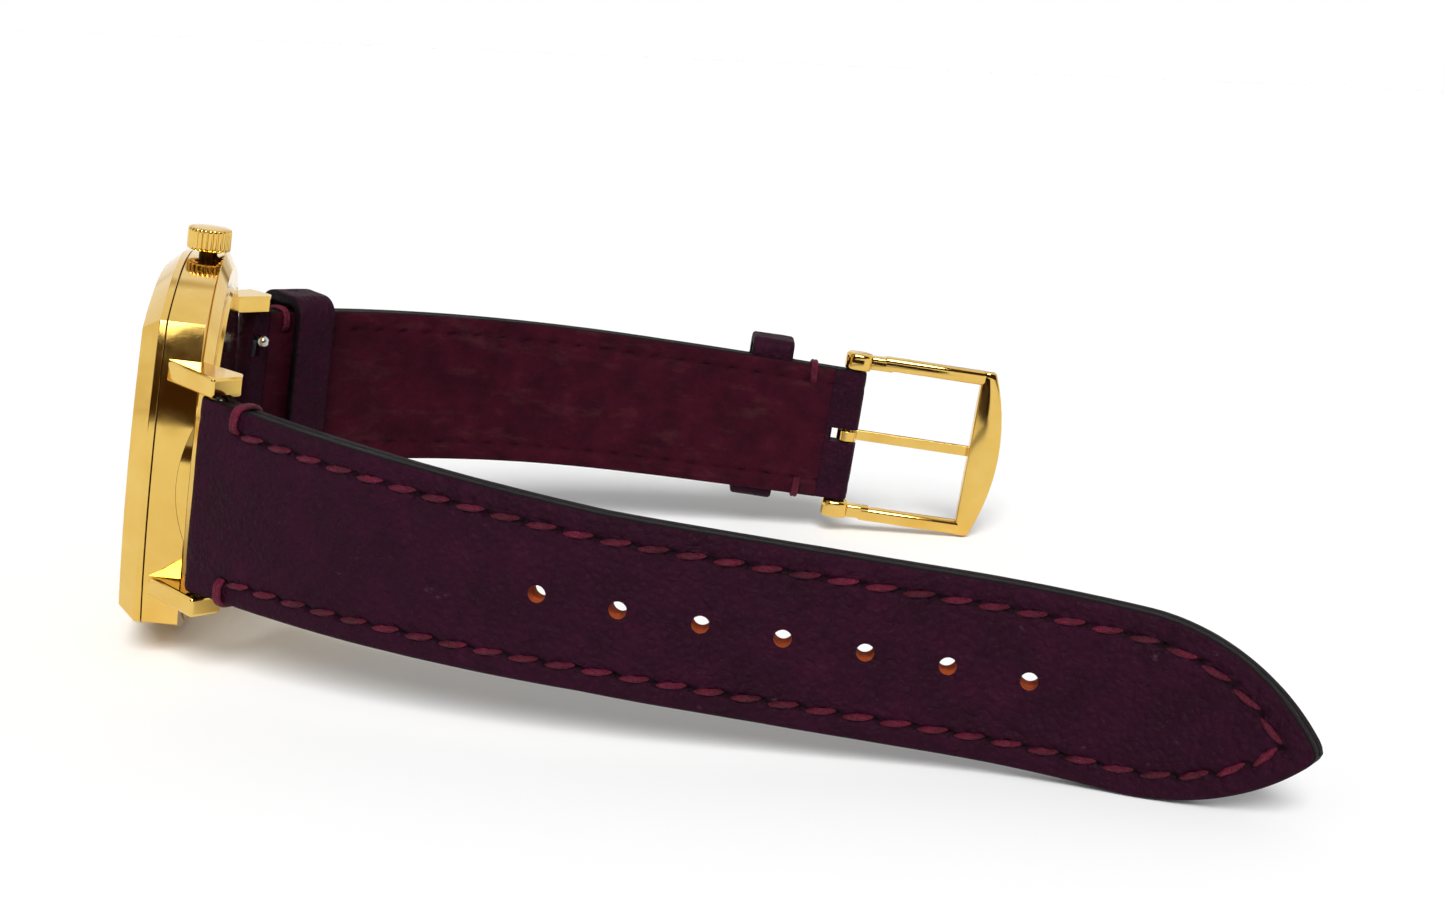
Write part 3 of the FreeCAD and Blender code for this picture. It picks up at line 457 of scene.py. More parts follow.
def relief(plan, s, w, inset, spots):
    # swell, worn edges, stitch channel and needle dips of the grain side
    height = -grainRelief["edgeDrop"] * math.exp(-inset / grainRelief["edgeReach"])
    height += grainRelief["swell"] * noise.noise(Vector((s / 11, w / 7, plan["outward"] * 5)))
    height += grainRelief["ripple"] * noise.noise(Vector((s / 2.6, w / 3.4, 9)))
    fromSeam = (inset - strapBuild["stitchInset"]) / grainRelief["channelWide"]
    height -= grainRelief["channel"] * math.exp(-fromSeam ** 2)
    for spot in spots:
        gap = slitGap(s - spot[0], abs(w) - spot[1])
        if gap < 8:
            height += grainRelief["slitLip"] * math.exp(-((math.sqrt(gap) - 1.9) / 0.5) ** 2)
            height -= grainRelief["slitDeep"] * math.exp(-gap)
    for hole in plan["holes"]:
        away = math.hypot(s - hole, w)
        if away < 4:
            height += grainRelief["holeLip"] * math.exp(-((away - 1.25) / 0.35) ** 2)
            height -= grainRelief["holeDip"] * math.exp(-((away - 0.8) / 0.3) ** 2)
    return height


def sheetProfile(thick, topRound, lowRound):
    # one side of the section, from the middle of the grain face round the edge to the middle of the inner face
    section = [("share", value, thick, "face") for value in (1.0, 0.75, 0.5, 0.25)]
    section += [("inset", value, thick, "face") for value in (3.2, 2.75, 2.45, 2.25, 2.05, 1.85, 1.6, 1.25, 0.9,
        0.65)]
    for step in range(5):
        angle = math.radians(90 * step / 4)
        section.append(("inset", topRound * (1 - math.sin(angle)), thick - topRound * (1 - math.cos(angle)),
            "edge" if step > 2 else "face"))
    for step in range(3):
        angle = math.radians(90 * step / 2)
        section.append(("inset", lowRound * (1 - math.cos(angle)), lowRound * (1 - math.sin(angle)), "edge"))
    section += [("inset", value, 0.0, "low") for value in (1.0, 3.2)]
    section += [("share", value, 0.0, "low") for value in (0.5, 1.0)]
    return section


def gridSheet(rows, columns):
    # a flat sheet of quads whose vertices come in a known order
    bm = bmesh.new()
    bm.verts.layers.float_vector.new("lay")
    # weight of the painted shade in the needle slits
    bm.verts.layers.float.new("pit")
    bmesh.ops.create_grid(bm, x_segments=rows - 1, y_segments=columns - 1, size=0.5)
    order = {}
    for vert in bm.verts:
        order[(round((vert.co.x + 0.5) * (rows - 1)), round((vert.co.y + 0.5) * (columns - 1)))] = vert
    return bm, order


def leatherSheet(plan, first, last, topRound, lowRound, pitShade):
    # closed leather sheet in (u, w, height) before it is folded
    thick = strapBuild["thick"]
    section = sheetProfile(thick, topRound, lowRound)
    loop = [(1, *row) for row in section] + [(-1, *row) for row in reversed(section[:-1])]
    rowCount = int(round((last - first) / strapBuild["rowStep"])) + 1
    bm, order = gridSheet(rowCount, len(loop))
    pit = bm.verts.layers.float.get("pit")
    spots = stitchLine(plan, strapBuild["stitchInset"], strapBuild["firstStitch"], min(last, plan["length"]))
    zone = {}
    for row in range(rowCount):
        s = first + (last - first) * row / (rowCount - 1)
        near = [spot for spot in spots if abs(spot[0] - s) < 4]
        for column, (side, kind, value, height, where) in enumerate(loop):
            vert = order[(row, column)]
            tapering = not plan["point"] or s <= plan["length"] - plan["point"]
            half = halfWidth(plan, s) if tapering else plan["endHalf"]
            inset = value if kind == "inset" else 3.2 + (half - 3.2) * value
            placeS, w = outlineAt(plan, s, inset)
            if height > thick * 0.45:
                height += relief(plan, placeS, w, inset, near) * (height / thick)
                # painted shade in the needle slits: the weight is strongest in each slit and falls off around
                # it
                holes = [slitGap(placeS - spot[0], w - spot[1]) for spot in near]
                vert[pit] = pitShade * math.exp(-min(holes, default=9))
            vert.co = (placeS, side * w, height)
            zone[vert] = where
    for face in bm.faces:
        kinds = [zone[vert] for vert in face.verts]
        face.material_index = 1 if kinds.count("edge") >= 2 and "low" not in kinds else 0
    bmesh.ops.remove_doubles(bm, verts=bm.verts, dist=0.0005)
    rims = [edge for edge in bm.edges if edge.is_boundary]
    if rims:
        bmesh.ops.holes_fill(bm, edges=rims, sides=0)
    bmesh.ops.recalc_face_normals(bm, faces=bm.faces)
    return bm


def cutWith(bm, cutters, materials):
    # punches the cutters' shapes out of a sheet
    base = bpy.data.objects.new("sheet", bpy.data.meshes.new("sheet"))
    bm.to_mesh(base.data)
    bm.free()
    tool = bpy.data.objects.new("punch", bpy.data.meshes.new("punch"))
    cutters.to_mesh(tool.data)
    cutters.free()
    for item in (base, tool):
        bpy.context.collection.objects.link(item)
        for material in materials:
            item.data.materials.append(material)
    punch = base.modifiers.new("punch", "BOOLEAN")
    punch.object = tool
    punch.operation = "DIFFERENCE"
    punch.solver = "EXACT"
    evaluated = base.evaluated_get(bpy.context.evaluated_depsgraph_get())
    result = bmesh.new()
    result.from_mesh(evaluated.to_mesh())
    bpy.data.objects.remove(base)
    bpy.data.objects.remove(tool)
    return result


def foldPoint(plan, u, height):
    # turns the flat leather round the spring bar, and on the short half round the buckle's bar
    thick = strapBuild["thick"]
    if u < 0:
        bar, way, base = 0.0, -1, -u
        mean, inner, outer = strapBuild["rollMean"], strapBuild["tunnel"], strapBuild["lugRoll"]
    elif plan["point"] == 0 and u > plan["length"]:
        bar, way, base = plan["length"], 1, u - plan["length"]
        mean, inner, outer = strapBuild["buckleRollMean"], strapBuild["buckleTunnel"], strapBuild["buckleRoll"]
    else:
        lift = strapBuild["tunnel"] * (1 - smooth(u / 1.65))
        if plan["point"] == 0:
            lift = max(lift, strapBuild["buckleTunnel"] * (1 - smooth((plan["length"] - u) / 1.6)))
            lift = max(lift, 0.54 * (1 - smooth((abs(u - plan["keeperAt"]) - 2.6) / 0.5)))
        return u, (lift + (thick - lift) * height / thick) if height <= thick else height
    turn = base / mean
    if turn <= math.pi:
        rim = thick + (outer - thick) * math.sin(turn)
        reach = inner + (rim - inner) * height / thick
        return bar + way * reach * math.sin(turn), reach * math.cos(turn)
    back = base - math.pi * mean
    lift = inner * (1 - smooth(back / 1.6))
    return bar - way * back, -(lift + (thick - lift) * height / thick)


def layOnStrap(plan, bm, folded=True):
    # keeps the flat place for the grain, then bends the sheet to the strap's line
    lay = bm.verts.layers.float_vector.get("lay") or bm.verts.layers.float_vector.new("lay")
    for vert in bm.verts:
        u, w, height = vert.co
        vert[lay] = Vector((u, w, height * 2 + plan["outward"] * 30)) * mm
        s, n = foldPoint(plan, u, height) if folded else (u, height)
        vert.co = onStrap(plan, s, w, n)


def markHoleWalls(sheet, plan):
    for face in sheet.faces:
        centre = face.calc_center_median()
        if abs(face.normal.z) < 0.5 and any(math.hypot(centre.x - hole, centre.y) < 0.8
                for hole in plan["holes"]):
            face.material_index = 2


def turnOver(sheet):
    # the lining is drawn like the grain leather, then laid face down under it
    for vert in sheet.verts:
        vert.co.z = -vert.co.z - 0.015
    bmesh.ops.reverse_faces(sheet, faces=sheet.faces)


def punches(plan):
    tools = bmesh.new()
    for hole in plan["holes"]:
        bmesh.ops.create_cone(tools, cap_ends=True, segments=20, radius1=plan["holeRadius"],
            radius2=plan["holeRadius"], depth=8, matrix=Matrix.Translation((hole, 0, 0)))
    return tools


def slotPunch(first, last):
    tools = bmesh.new()
    size = Matrix.Diagonal((last - first, strapBuild["slotHalf"] * 2, 8, 1))
    bmesh.ops.create_cube(tools, size=1, matrix=Matrix.Translation(((first + last) / 2, 0, 0)) @ size)
    return tools


def knobSlot(tools):
    # slot for the quick-release knob, on the inner side of the bar's roll
    middle = -strapBuild["rollMean"] * math.pi
    size = Matrix.Diagonal((0.95, 2.4, 8, 1))
    bmesh.ops.create_cube(tools, size=1, matrix=Matrix.Translation((middle, 5.15, 0)) @ size)
    return tools


def edgeTack(plan, name, body, s):
    # doubled thread wound over the edge where the seam ends, on both edges
    settings = {"apart": 0.18, "thread": 0.24, "slant": 0.35}
    bm = bmesh.new()
    w = halfWidth(plan, s)
    inset = strapBuild["stitchInset"]
    route = [(w - inset, 0.9), (w - inset + 0.25, 1.42), (w - 0.9, 1.45), (w - 0.1, 1.32), (w + 0.22, 0.7),
        (w + 0.26, -0.7), (w - 0.1, -1.32), (w - 0.9, -1.42), (w - inset + 0.25, -1.4), (w - inset, -0.9)]
    for side in (1, -1):
        for strand in (-settings["apart"], settings["apart"]):
            curve = bpy.data.curves.new("strand", "CURVE")
            curve.dimensions = "3D"
            curve.bevel_depth = settings["thread"] * mm
            curve.bevel_resolution = 2
            curve.resolution_u = 3
            spline = curve.splines.new("NURBS")
            spline.points.add(len(route) - 1)
            for index, (point, (across, out)) in enumerate(zip(spline.points, route)):
                point.co = (*onStrap(plan, s + strand + settings["slant"] * (index / len(route) - 0.5),
                    side * across, out), 1)
            spline.order_u = 3
            spline.use_endpoint_u = True
            curve.use_fill_caps = True
            holder = bpy.data.objects.new("strand", curve)
            bm.from_mesh(bpy.data.meshes.new_from_object(holder))
            bpy.data.objects.remove(holder)
    lay = bm.verts.layers.float_vector.get("lay") or bm.verts.layers.float_vector.new("lay")
    for vert in bm.verts:
        vert[lay] = vert.co
    bmesh.ops.remove_doubles(bm, verts=bm.verts, dist=0.000002)
    bmesh.ops.recalc_face_normals(bm, faces=bm.faces)
    return finishPiece(name, bm, body, [thread], sharp=80)


def stitches(plan, name, body, first, last, height):
    # waxed thread, one bead per stitch, dipping into its needle holes
    bm = bmesh.new()
    spots = stitchLine(plan, strapBuild["stitchInset"], first, last)
    flip = 1 if height > 0 else -1
    for side in (1, -1):
        for start, end in zip(spots, spots[1:]):
            middle = ((start[0] + end[0]) / 2, side * (start[1] + end[1]) / 2)
            angle = math.atan2(side * (end[1] - start[1]), end[0] - start[0])
            angle += math.radians(strapBuild["stitchSlant"]) * flip * plan["outward"]
            made = bmesh.ops.create_uvsphere(bm, u_segments=7, v_segments=8, radius=1,
                matrix=Matrix.Rotation(math.pi / 2, 4, "Y"))["verts"]
            for vert in made:
                x, y, z = vert.co
                full = (1 - abs(x) ** 2.4) ** 0.6 if abs(x) < 1 else 0
                spread = math.sqrt(max(1 - x * x, 1e-6))
                y, z = y / spread * full, z / spread * full
                twist = 0.18 * math.sin(3 * math.atan2(z, y) + x * 6)
                vert.co = (x * strapBuild["stitchLength"] / 2, y * (1 + twist) * strapBuild["stitchThick"] / 2,
                    z * (1 + twist) * strapBuild["stitchThick"] * 0.42 - 0.14 * abs(x) ** 3)
            for vert in made:
                x, y, z = vert.co
                vert.co = (middle[0] + x * math.cos(angle) - y * math.sin(angle),
                    middle[1] + x * math.sin(angle) + y * math.cos(angle), height + z * flip)
    bmesh.ops.remove_doubles(bm, verts=bm.verts, dist=0.0005)
    if height < 0:
        bmesh.ops.reverse_faces(bm, faces=bm.faces)
    layOnStrap(plan, bm, folded=False)
    return finishPiece(name, bm, body, [thread], sharp=80)


longPlan = strapPlan["long"]
shortPlan = strapPlan["short"]
wrapLength = strapBuild["rollMean"] * math.pi + strapBuild["flap"]

sheet = leatherSheet(longPlan, -wrapLength, longPlan["length"], 0.32, 0.08, 0.95)
sheet = cutWith(sheet, knobSlot(punches(longPlan)), [plumGoat, edgePaint, rawLeather])
markHoleWalls(sheet, longPlan)
layOnStrap(longPlan, sheet)
longOuter = finishPiece("longStrapGrain", sheet, "long_strap",
    [plumGoat, edgePaint, rawLeather], sharp=40)
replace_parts(longOuter, "long_strap_outer")

sheet = leatherSheet(longPlan, strapBuild["liningFrom"], longPlan["length"], 0.3, 0.08, 0.35)
sheet = cutWith(sheet, punches(longPlan), [burgundyLining, edgePaint, rawLeather])
markHoleWalls(sheet, longPlan)
turnOver(sheet)
layOnStrap(longPlan, sheet, folded=False)
longLining = finishPiece("longStrapLining", sheet, "long_strap",
    [burgundyLining, edgePaint, rawLeather], sharp=40)
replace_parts(longLining, "long_strap_lining")
stitches(longPlan, "longStrapStitches", "long_strap", strapBuild["firstStitch"], longPlan["length"],
    strapBuild["thick"])
stitches(longPlan, "longStrapBackStitches", "long_strap", strapBuild["firstStitch"], longPlan["length"],
    -strapBuild["thick"])
edgeTack(longPlan, "longStrapTack", "long_strap", strapBuild["firstStitch"] - 0.3)
print("long strap made")

buckleWrap = strapBuild["buckleRollMean"] * math.pi + strapBuild["buckleFlap"]
sheet = leatherSheet(shortPlan, -wrapLength, shortPlan["length"] + buckleWrap, 0.32, 0.08, 0.95)
slot = slotPunch(shortPlan["length"] - 1.9, shortPlan["length"] + strapBuild["buckleRollMean"] * math.pi + 2.2)
sheet = cutWith(sheet, knobSlot(slot), [plumGoat, edgePaint, rawLeather])
layOnStrap(shortPlan, sheet)
shortOuter = finishPiece("shortStrapGrain", sheet, "short_strap",
    [plumGoat, edgePaint, rawLeather], sharp=40)
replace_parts(shortOuter, "short_strap_outer")

liningEnd = shortPlan["length"] - strapBuild["buckleFlap"] - 0.03
sheet = leatherSheet(shortPlan, strapBuild["liningFrom"], liningEnd, 0.3, 0.08, 0.3)
turnOver(sheet)
layOnStrap(shortPlan, sheet, folded=False)
shortLining = finishPiece("shortStrapLining", sheet, "short_strap",
    [burgundyLining, edgePaint], sharp=40)
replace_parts(shortLining, "short_strap_lining")
stitches(shortPlan, "shortStrapStitches", "short_strap", strapBuild["firstStitch"], strapBuild["buckleTack"],
    strapBuild["thick"])
edgeTack(shortPlan, "shortStrapTack", "short_strap", strapBuild["firstStitch"] - 0.3)
edgeTack(shortPlan, "shortBuckleTack", "short_strap", strapBuild["buckleTack"])
print("short strap made")


# keepers: leather loops bent round the strap

def keeperLoop(name, node, body, settings):
    # section across the loop's own leather, swept round a rounded rectangle
    plan = shortPlan
    thick = settings["thick"]
    corner = settings["corner"]
    corners = [(settings["right"], settings["top"]), (-settings["left"], settings["top"]),
        (-settings["left"], settings["low"]), (settings["right"], settings["low"])]
    path = []
    for index, (w, n) in enumerate(corners):
        radius = corner
        cw = w - math.copysign(radius, w)
        cn = n - radius if index < 2 else n + radius
        start = index * 90
        for step in range(9):
            angle = math.radians(start + 90 * step / 8)
            path.append((cw + radius * math.cos(angle), cn + radius * math.sin(angle), math.cos(angle),
                math.sin(angle)))
    dense = []
    for one, two in zip(path, path[1:] + path[:1]):
        gap = math.dist(one[:2], two[:2])
        parts = max(1, int(gap / 0.8))
        for part in range(parts):
            share = part / parts
            dense.append([a + (b - a) * share for a, b in zip(one, two)])
    half = settings["width"] / 2
    soft = 0.38
    section = [(half * share, 1.0, "face") for share in (0.0, 0.35, 0.7)]
    for step in range(5):
        angle = math.radians(90 * step / 4)
        section.append((half - soft * (1 - math.sin(angle)), 1 - (soft / thick) * (1 - math.cos(angle)),
            "edge" if step > 1 else "face"))
    section += [(half, 0.12, "edge"), (half - 0.12, 0.0, "low"), (half * 0.5, 0.0, "low"), (0.0, 0.0, "low")]
    loop = section + [(-along, height, where) for along, height, where in reversed(section[:-1])]
    bm, order = gridSheet(len(dense) + 1, len(loop))
    lay = bm.verts.layers.float_vector.get("lay")
    zone = {}
    walked = 0.0
    for row in range(len(dense) + 1):
        w, n, outW, outN = dense[row % len(dense)]
        if row:
            walked += math.dist(dense[row % len(dense)][:2], dense[row - 1][:2])
        for column, (along, height, where) in enumerate(loop):
            vert = order[(row, column)]
            wave = noise.noise(Vector((w / 3, n / 2, along / 2 + settings["place"])))
            reach = height * thick + 0.05 * wave * height
            vert.co = onStrap(plan, settings["place"] + along, w + outW * reach, n + outN * reach)
            vert[lay] = Vector((walked, along, height + settings["place"])) * mm
            zone[vert] = where
    for face in bm.faces:
        face.material_index = 1 if sum(zone[vert] == "edge" for vert in face.verts) >= 3 else 0
    bmesh.ops.remove_doubles(bm, verts=bm.verts, dist=0.000002)
    bmesh.ops.recalc_face_normals(bm, faces=bm.faces)
    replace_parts(finishPiece(name, bm, body, [plumGoat, edgePaint], sharp=50), node)


keeperLoop("slidingKeeper", "free_keeper", "free_keeper", {"place": 7.0, "width": 5.0, "thick": 1.1,
    "corner": 1.1, "right": 9.42, "left": 9.42, "top": 3.5, "low": -1.75})
keeperLoop("stitchedKeeper", "fixed_keeper", "short_strap", {"place": 65.2, "width": 5.0, "thick": 1.1,
    "corner": 0.2, "right": 9.2, "left": 8.33, "top": 4.1, "low": 0.5})
print("keepers made")


# metal

def loftRings(bm, rings):
    # first ring from a circle, each next one extruded from the last
    made = bmesh.ops.create_circle(bm, cap_ends=False, segments=len(rings[0]), radius=1)["verts"]
    made.sort(key=lambda vert: vert.index)
    for vert, place in zip(made, rings[0]):
        vert.co = place
    for ring in rings[1:]:
        edges = [edge for edge in bm.edges if edge.verts[0] in set(made) and edge.verts[1] in set(made)]
        grown = bmesh.ops.extrude_edge_only(bm, edges=edges)["geom"]
        fresh = [item for item in grown if isinstance(item, bmesh.types.BMVert)]
        pair = {}
        for vert in fresh:
            for edge in vert.link_edges:
                other = edge.other_vert(vert)
                if other in set(made):
                    pair[other] = vert
        made = [pair[vert] for vert in made]
        for vert, place in zip(made, ring):
            vert.co = place
    rims = [edge for edge in bm.edges if edge.is_boundary]
    bmesh.ops.holes_fill(bm, edges=rims, sides=0)


def flutedCrown():
    settings = {"ribs": 24, "perRib": 8, "radius": 2.05, "groove": 0.16, "level": 1.65, "low": 18.25,
        "high": 20.55, "round": 0.3, "dome": 0.14}
    count = settings["ribs"] * settings["perRib"]

    def ring(radius, y, groove=0.0):
        places = []
        for step in range(count):
            angle = 2 * math.pi * step / count
            dip = abs(math.sin(settings["ribs"] * angle / 2)) ** 0.6
            reach = radius - groove * (1 - dip)
            places.append(onWatch(reach * math.cos(angle), y, settings["level"] + reach * math.sin(angle)))
        return places

    radius, low, high, groove = settings["radius"], settings["low"], settings["high"], settings["groove"]
    rings = [ring(0.95, low + 1.2), ring(1.2, low + 1.2), ring(1.25, low + 0.04), ring(1.32, low),
        ring(radius - 0.22, low), ring(radius - 0.1, low + 0.04, groove * 0.4),
        ring(radius - 0.02, low + 0.16, groove * 0.8), ring(radius, low + 0.3, groove),
        ring(radius, high - 0.62, groove), ring(radius, high - 0.5, groove * 0.9)]
    for step in range(1, 6):
        angle = math.radians(90 * step / 5)
        rings.append(ring(radius - settings["round"] * (1 - math.cos(angle)),
            high - 0.44 + settings["round"] * math.sin(angle), groove * 0.8 * (1 - step / 5)))
    for share in (0.75, 0.5, 0.25, 0.06):
        rings.append(ring((radius - settings["round"]) * share,
            high - 0.14 + settings["dome"] * (1 - share ** 2)))
    bm = bmesh.new()
    loftRings(bm, rings)
    bmesh.ops.recalc_face_normals(bm, faces=bm.faces)
    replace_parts(finishPiece("flutedCrown", bm, "crown", [goldPlate], sharp=38), "crown")


buckleLean = math.radians(-9.0)
buckleAlong = noonWay * math.sin(buckleLean) + wristWay * math.cos(buckleLean)
buckleOut = noonWay * math.cos(buckleLean) - wristWay * math.sin(buckleLean)


def onBuckle(x, y, z):
    # out from the strap, across towards the crown, and along the frame from its bar
    return Vector(joints["buckle_swing"]["pos_m"]) + (buckleOut * x + crownWay * y + buckleAlong * z) * mm


def roundedBar(bm, low, high, ends, rim):
    # a bar between two corners, its ends turned round and its rims eased
    size = [b - a for a, b in zip(low, high)]
    middle = [(a + b) / 2 for a, b in zip(low, high)]
    part = bmesh.new()
    bmesh.ops.create_cube(part, size=1, matrix=Matrix.Translation(middle) @ Matrix.Diagonal((*size, 1)))
    if ends:
        uprights = [edge for edge in part.edges
            if abs((edge.verts[0].co - edge.verts[1].co).normalized().y) > 0.9]
        bmesh.ops.bevel(part, geom=uprights, offset=ends, segments=6, profile=0.5, affect="EDGES", material=-1)
    edges = [edge for edge in part.edges if edge.calc_face_angle(0) > math.radians(30)]
    bmesh.ops.bevel(part, geom=edges, offset=rim, segments=3, profile=0.5, affect="EDGES", material=-1)
    mesh = bpy.data.meshes.new("bar")
    part.to_mesh(mesh)
    part.free()
    bm.from_mesh(mesh)
    bpy.data.meshes.remove(mesh)


def buckleFrame():
    settings = {"half": 10.27, "boss": (2.7, 2.1, 3.3), "neck": (1.66, 1.6), "arm": (1.7, 1.65), "armFrom": 2.9,
        "barIn": 15.0, "barOut": 18.7, "bow": 2.0, "barThick": 1.2, "crown": 0.3, "swell": 0.35}
    half = settings["half"]
    bm = bmesh.new()
    for side in (1, -1):
        low, high = sorted((side * half, side * (half - settings["boss"][1])))
        roundedBar(bm, (-settings["boss"][0] / 2, low, -settings["boss"][2] / 2),
            (settings["boss"][0] / 2, high, settings["boss"][2] / 2), 1.2, 0.4)
        low, high = sorted((side * (half - 0.18), side * (half - 0.18 - settings["neck"][1])))
        roundedBar(bm, (-settings["neck"][0] / 2, low, 1.3),
            (settings["neck"][0] / 2, high, settings["armFrom"] + 1.4), 0, 0.3)
        low, high = sorted((side * half, side * (half - settings["arm"][1])))
        roundedBar(bm, (-settings["arm"][0] / 2, low, settings["armFrom"]),
            (settings["arm"][0] / 2, high, settings["barIn"] + 0.75), 0, 0.42)
    bridge = bmesh.new()
    across, deep = 29, 7
    bmesh.ops.create_grid(bridge, x_segments=across - 1, y_segments=deep - 1, size=0.5)
    for vert in bridge.verts:
        u, v = vert.co.x * 2, vert.co.y + 0.5
        far = settings["barOut"] - settings["bow"] * u * u
        z = settings["barIn"] + (far - settings["barIn"]) * v
        vert.co = (-settings["barThick"] / 2 - settings["crown"] * (1 - (2 * v - 1) ** 2)
            - settings["swell"] * (1 - u * u), u * half, z)
    grown = bmesh.ops.extrude_face_region(bridge, geom=bridge.faces[:])["geom"]
    for vert in [item for item in grown if isinstance(item, bmesh.types.BMVert)]:
        vert.co.x = settings["barThick"] / 2
    bmesh.ops.recalc_face_normals(bridge, faces=bridge.faces)
    rims = [edge for edge in bridge.edges if edge.calc_face_angle(0) > math.radians(40)]
    bmesh.ops.bevel(bridge, geom=rims, offset=0.2, segments=3, profile=0.5, affect="EDGES", material=-1)
    mesh = bpy.data.meshes.new("bridge")
    bridge.to_mesh(mesh)
    bridge.free()
    bm.from_mesh(mesh)
    bpy.data.meshes.remove(mesh)
    for vert in bm.verts:
        vert.co = onBuckle(*vert.co)
    bmesh.ops.recalc_face_normals(bm, faces=bm.faces)
    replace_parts(finishPiece("buckleFrame", bm, "buckle", [goldPlate], sharp=32), "buckle_frame")


def barCoil(half):
    # the release coil inside the spring bar, copied onto a mesh of its own so that it can shorten as its tip is
    # drawn in
    node = half + "_bar_spring"
    bm = bmesh.new()
    bm.from_mesh(frame["nodes"][node].data)
    bmesh.ops.remove_doubles(bm, verts=bm.verts, dist=0.000002)
    bmesh.ops.recalc_face_normals(bm, faces=bm.faces)
    coil = finishPiece(half + "BarCoil", bm, frame["nodes"][node]["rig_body"], [steel])
    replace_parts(coil, node)
    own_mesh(coil)


def minuteTrack():
    # fine printed strokes between the applied hour markers
    settings = {"from": 12.8, "to": 13.4, "wide": 0.13, "thick": 0.03}
    bm = bmesh.new()
    for minute in range(60):
        if minute % 5 == 0:
            continue
        angle = math.radians(minute * 6)
        made = bmesh.ops.create_cube(bm, size=1, matrix=Matrix.Diagonal((settings["to"] - settings["from"],
            settings["wide"], settings["thick"], 1)))["verts"]
        for vert in made:
            x = vert.co.x + (settings["from"] + settings["to"]) / 2
            vert.co = onWatch(x * math.cos(angle) - vert.co.y * math.sin(angle),
                x * math.sin(angle) + vert.co.y * math.cos(angle), vert.co.z - 0.005)
    bmesh.ops.recalc_face_normals(bm, faces=bm.faces)
    finishPiece("minuteTrack", bm, "case",
        [plain("printedDialInk", {"main": "23201D", "second": "322D29", "rough": 0.5, "size": 0.1})])


metalPieces = {
    "bezel": {"name": "bezelRing", "edge": 0.05, "sharp": 12, "seam": (-0.13, 0.02)},
    "case_middle": {"name": "caseMiddle", "edge": 0.07, "sharp": 14, "lugRound": 0.28, "lugFrom": 19.6,
        "lugSides": (9.0, 11.0)},
    "case_back": {"name": "caseBack", "edge": 0.06, "sharp": 14},
    "buckle_tongue": {"name": "buckleTongue", "edge": 0.12, "sharp": 25},
}
for node, settings in metalPieces.items():
    dressCopy(node, settings)
for half in ("long", "short"):
    barCoil(half)
flutedCrown()
buckleFrame()
minuteTrack()
# the crown tube takes the dark plate painted as the shade in the gap behind the crown
frame["nodes"]["crown_tube"].data.materials[0] = paintedSeamShade
print("metal made")


# floor, light and camera

def makeFloor():
    settings = {"size": 60.0, "tone": "F4F4F4", "lift": 0.02}
    bm = bmesh.new()
    bmesh.ops.create_grid(bm, x_segments=1, y_segments=1, size=settings["size"])
    mesh = bpy.data.meshes.new("floor")
    bm.to_mesh(mesh)
    bm.free()
    floor = bpy.data.objects.new("floor", mesh)
    bpy.context.collection.objects.link(floor)
    material, tree, shader = newMaterial("paintedBoardFloor")
    shader.inputs["Base Color"].default_value = colour(settings["tone"])
    shader.inputs["Roughness"].default_value = 0.9
    shader.inputs["Specular IOR Level"].default_value = 0.0
    rays = addNode(tree, "ShaderNodeLightPath")
    seen = addNode(tree, "ShaderNodeMath", {"operation": "MAXIMUM"},
        {0: rays.outputs["Is Camera Ray"], 1: rays.outputs["Is Glossy Ray"]})
    through = addNode(tree, "ShaderNodeMath", {"operation": "MAXIMUM"},
        {0: seen.outputs[0], 1: rays.outputs["Is Transmission Ray"]})
    lift = addNode(tree, "ShaderNodeMath", {"operation": "MULTIPLY", 1: settings["lift"]},
        {0: through.outputs[0]})
    glow = addNode(tree, "ShaderNodeEmission", {"Color": grey(1.0)}, {"Strength": lift.outputs[0]})
    both = addNode(tree, "ShaderNodeAddShader", links={0: shader.outputs[0], 1: glow.outputs[0]})
    output = [item for item in tree.nodes if item.type == "OUTPUT_MATERIAL"][0]
    tree.links.new(both.outputs[0], output.inputs["Surface"])
    mesh.materials.append(material)


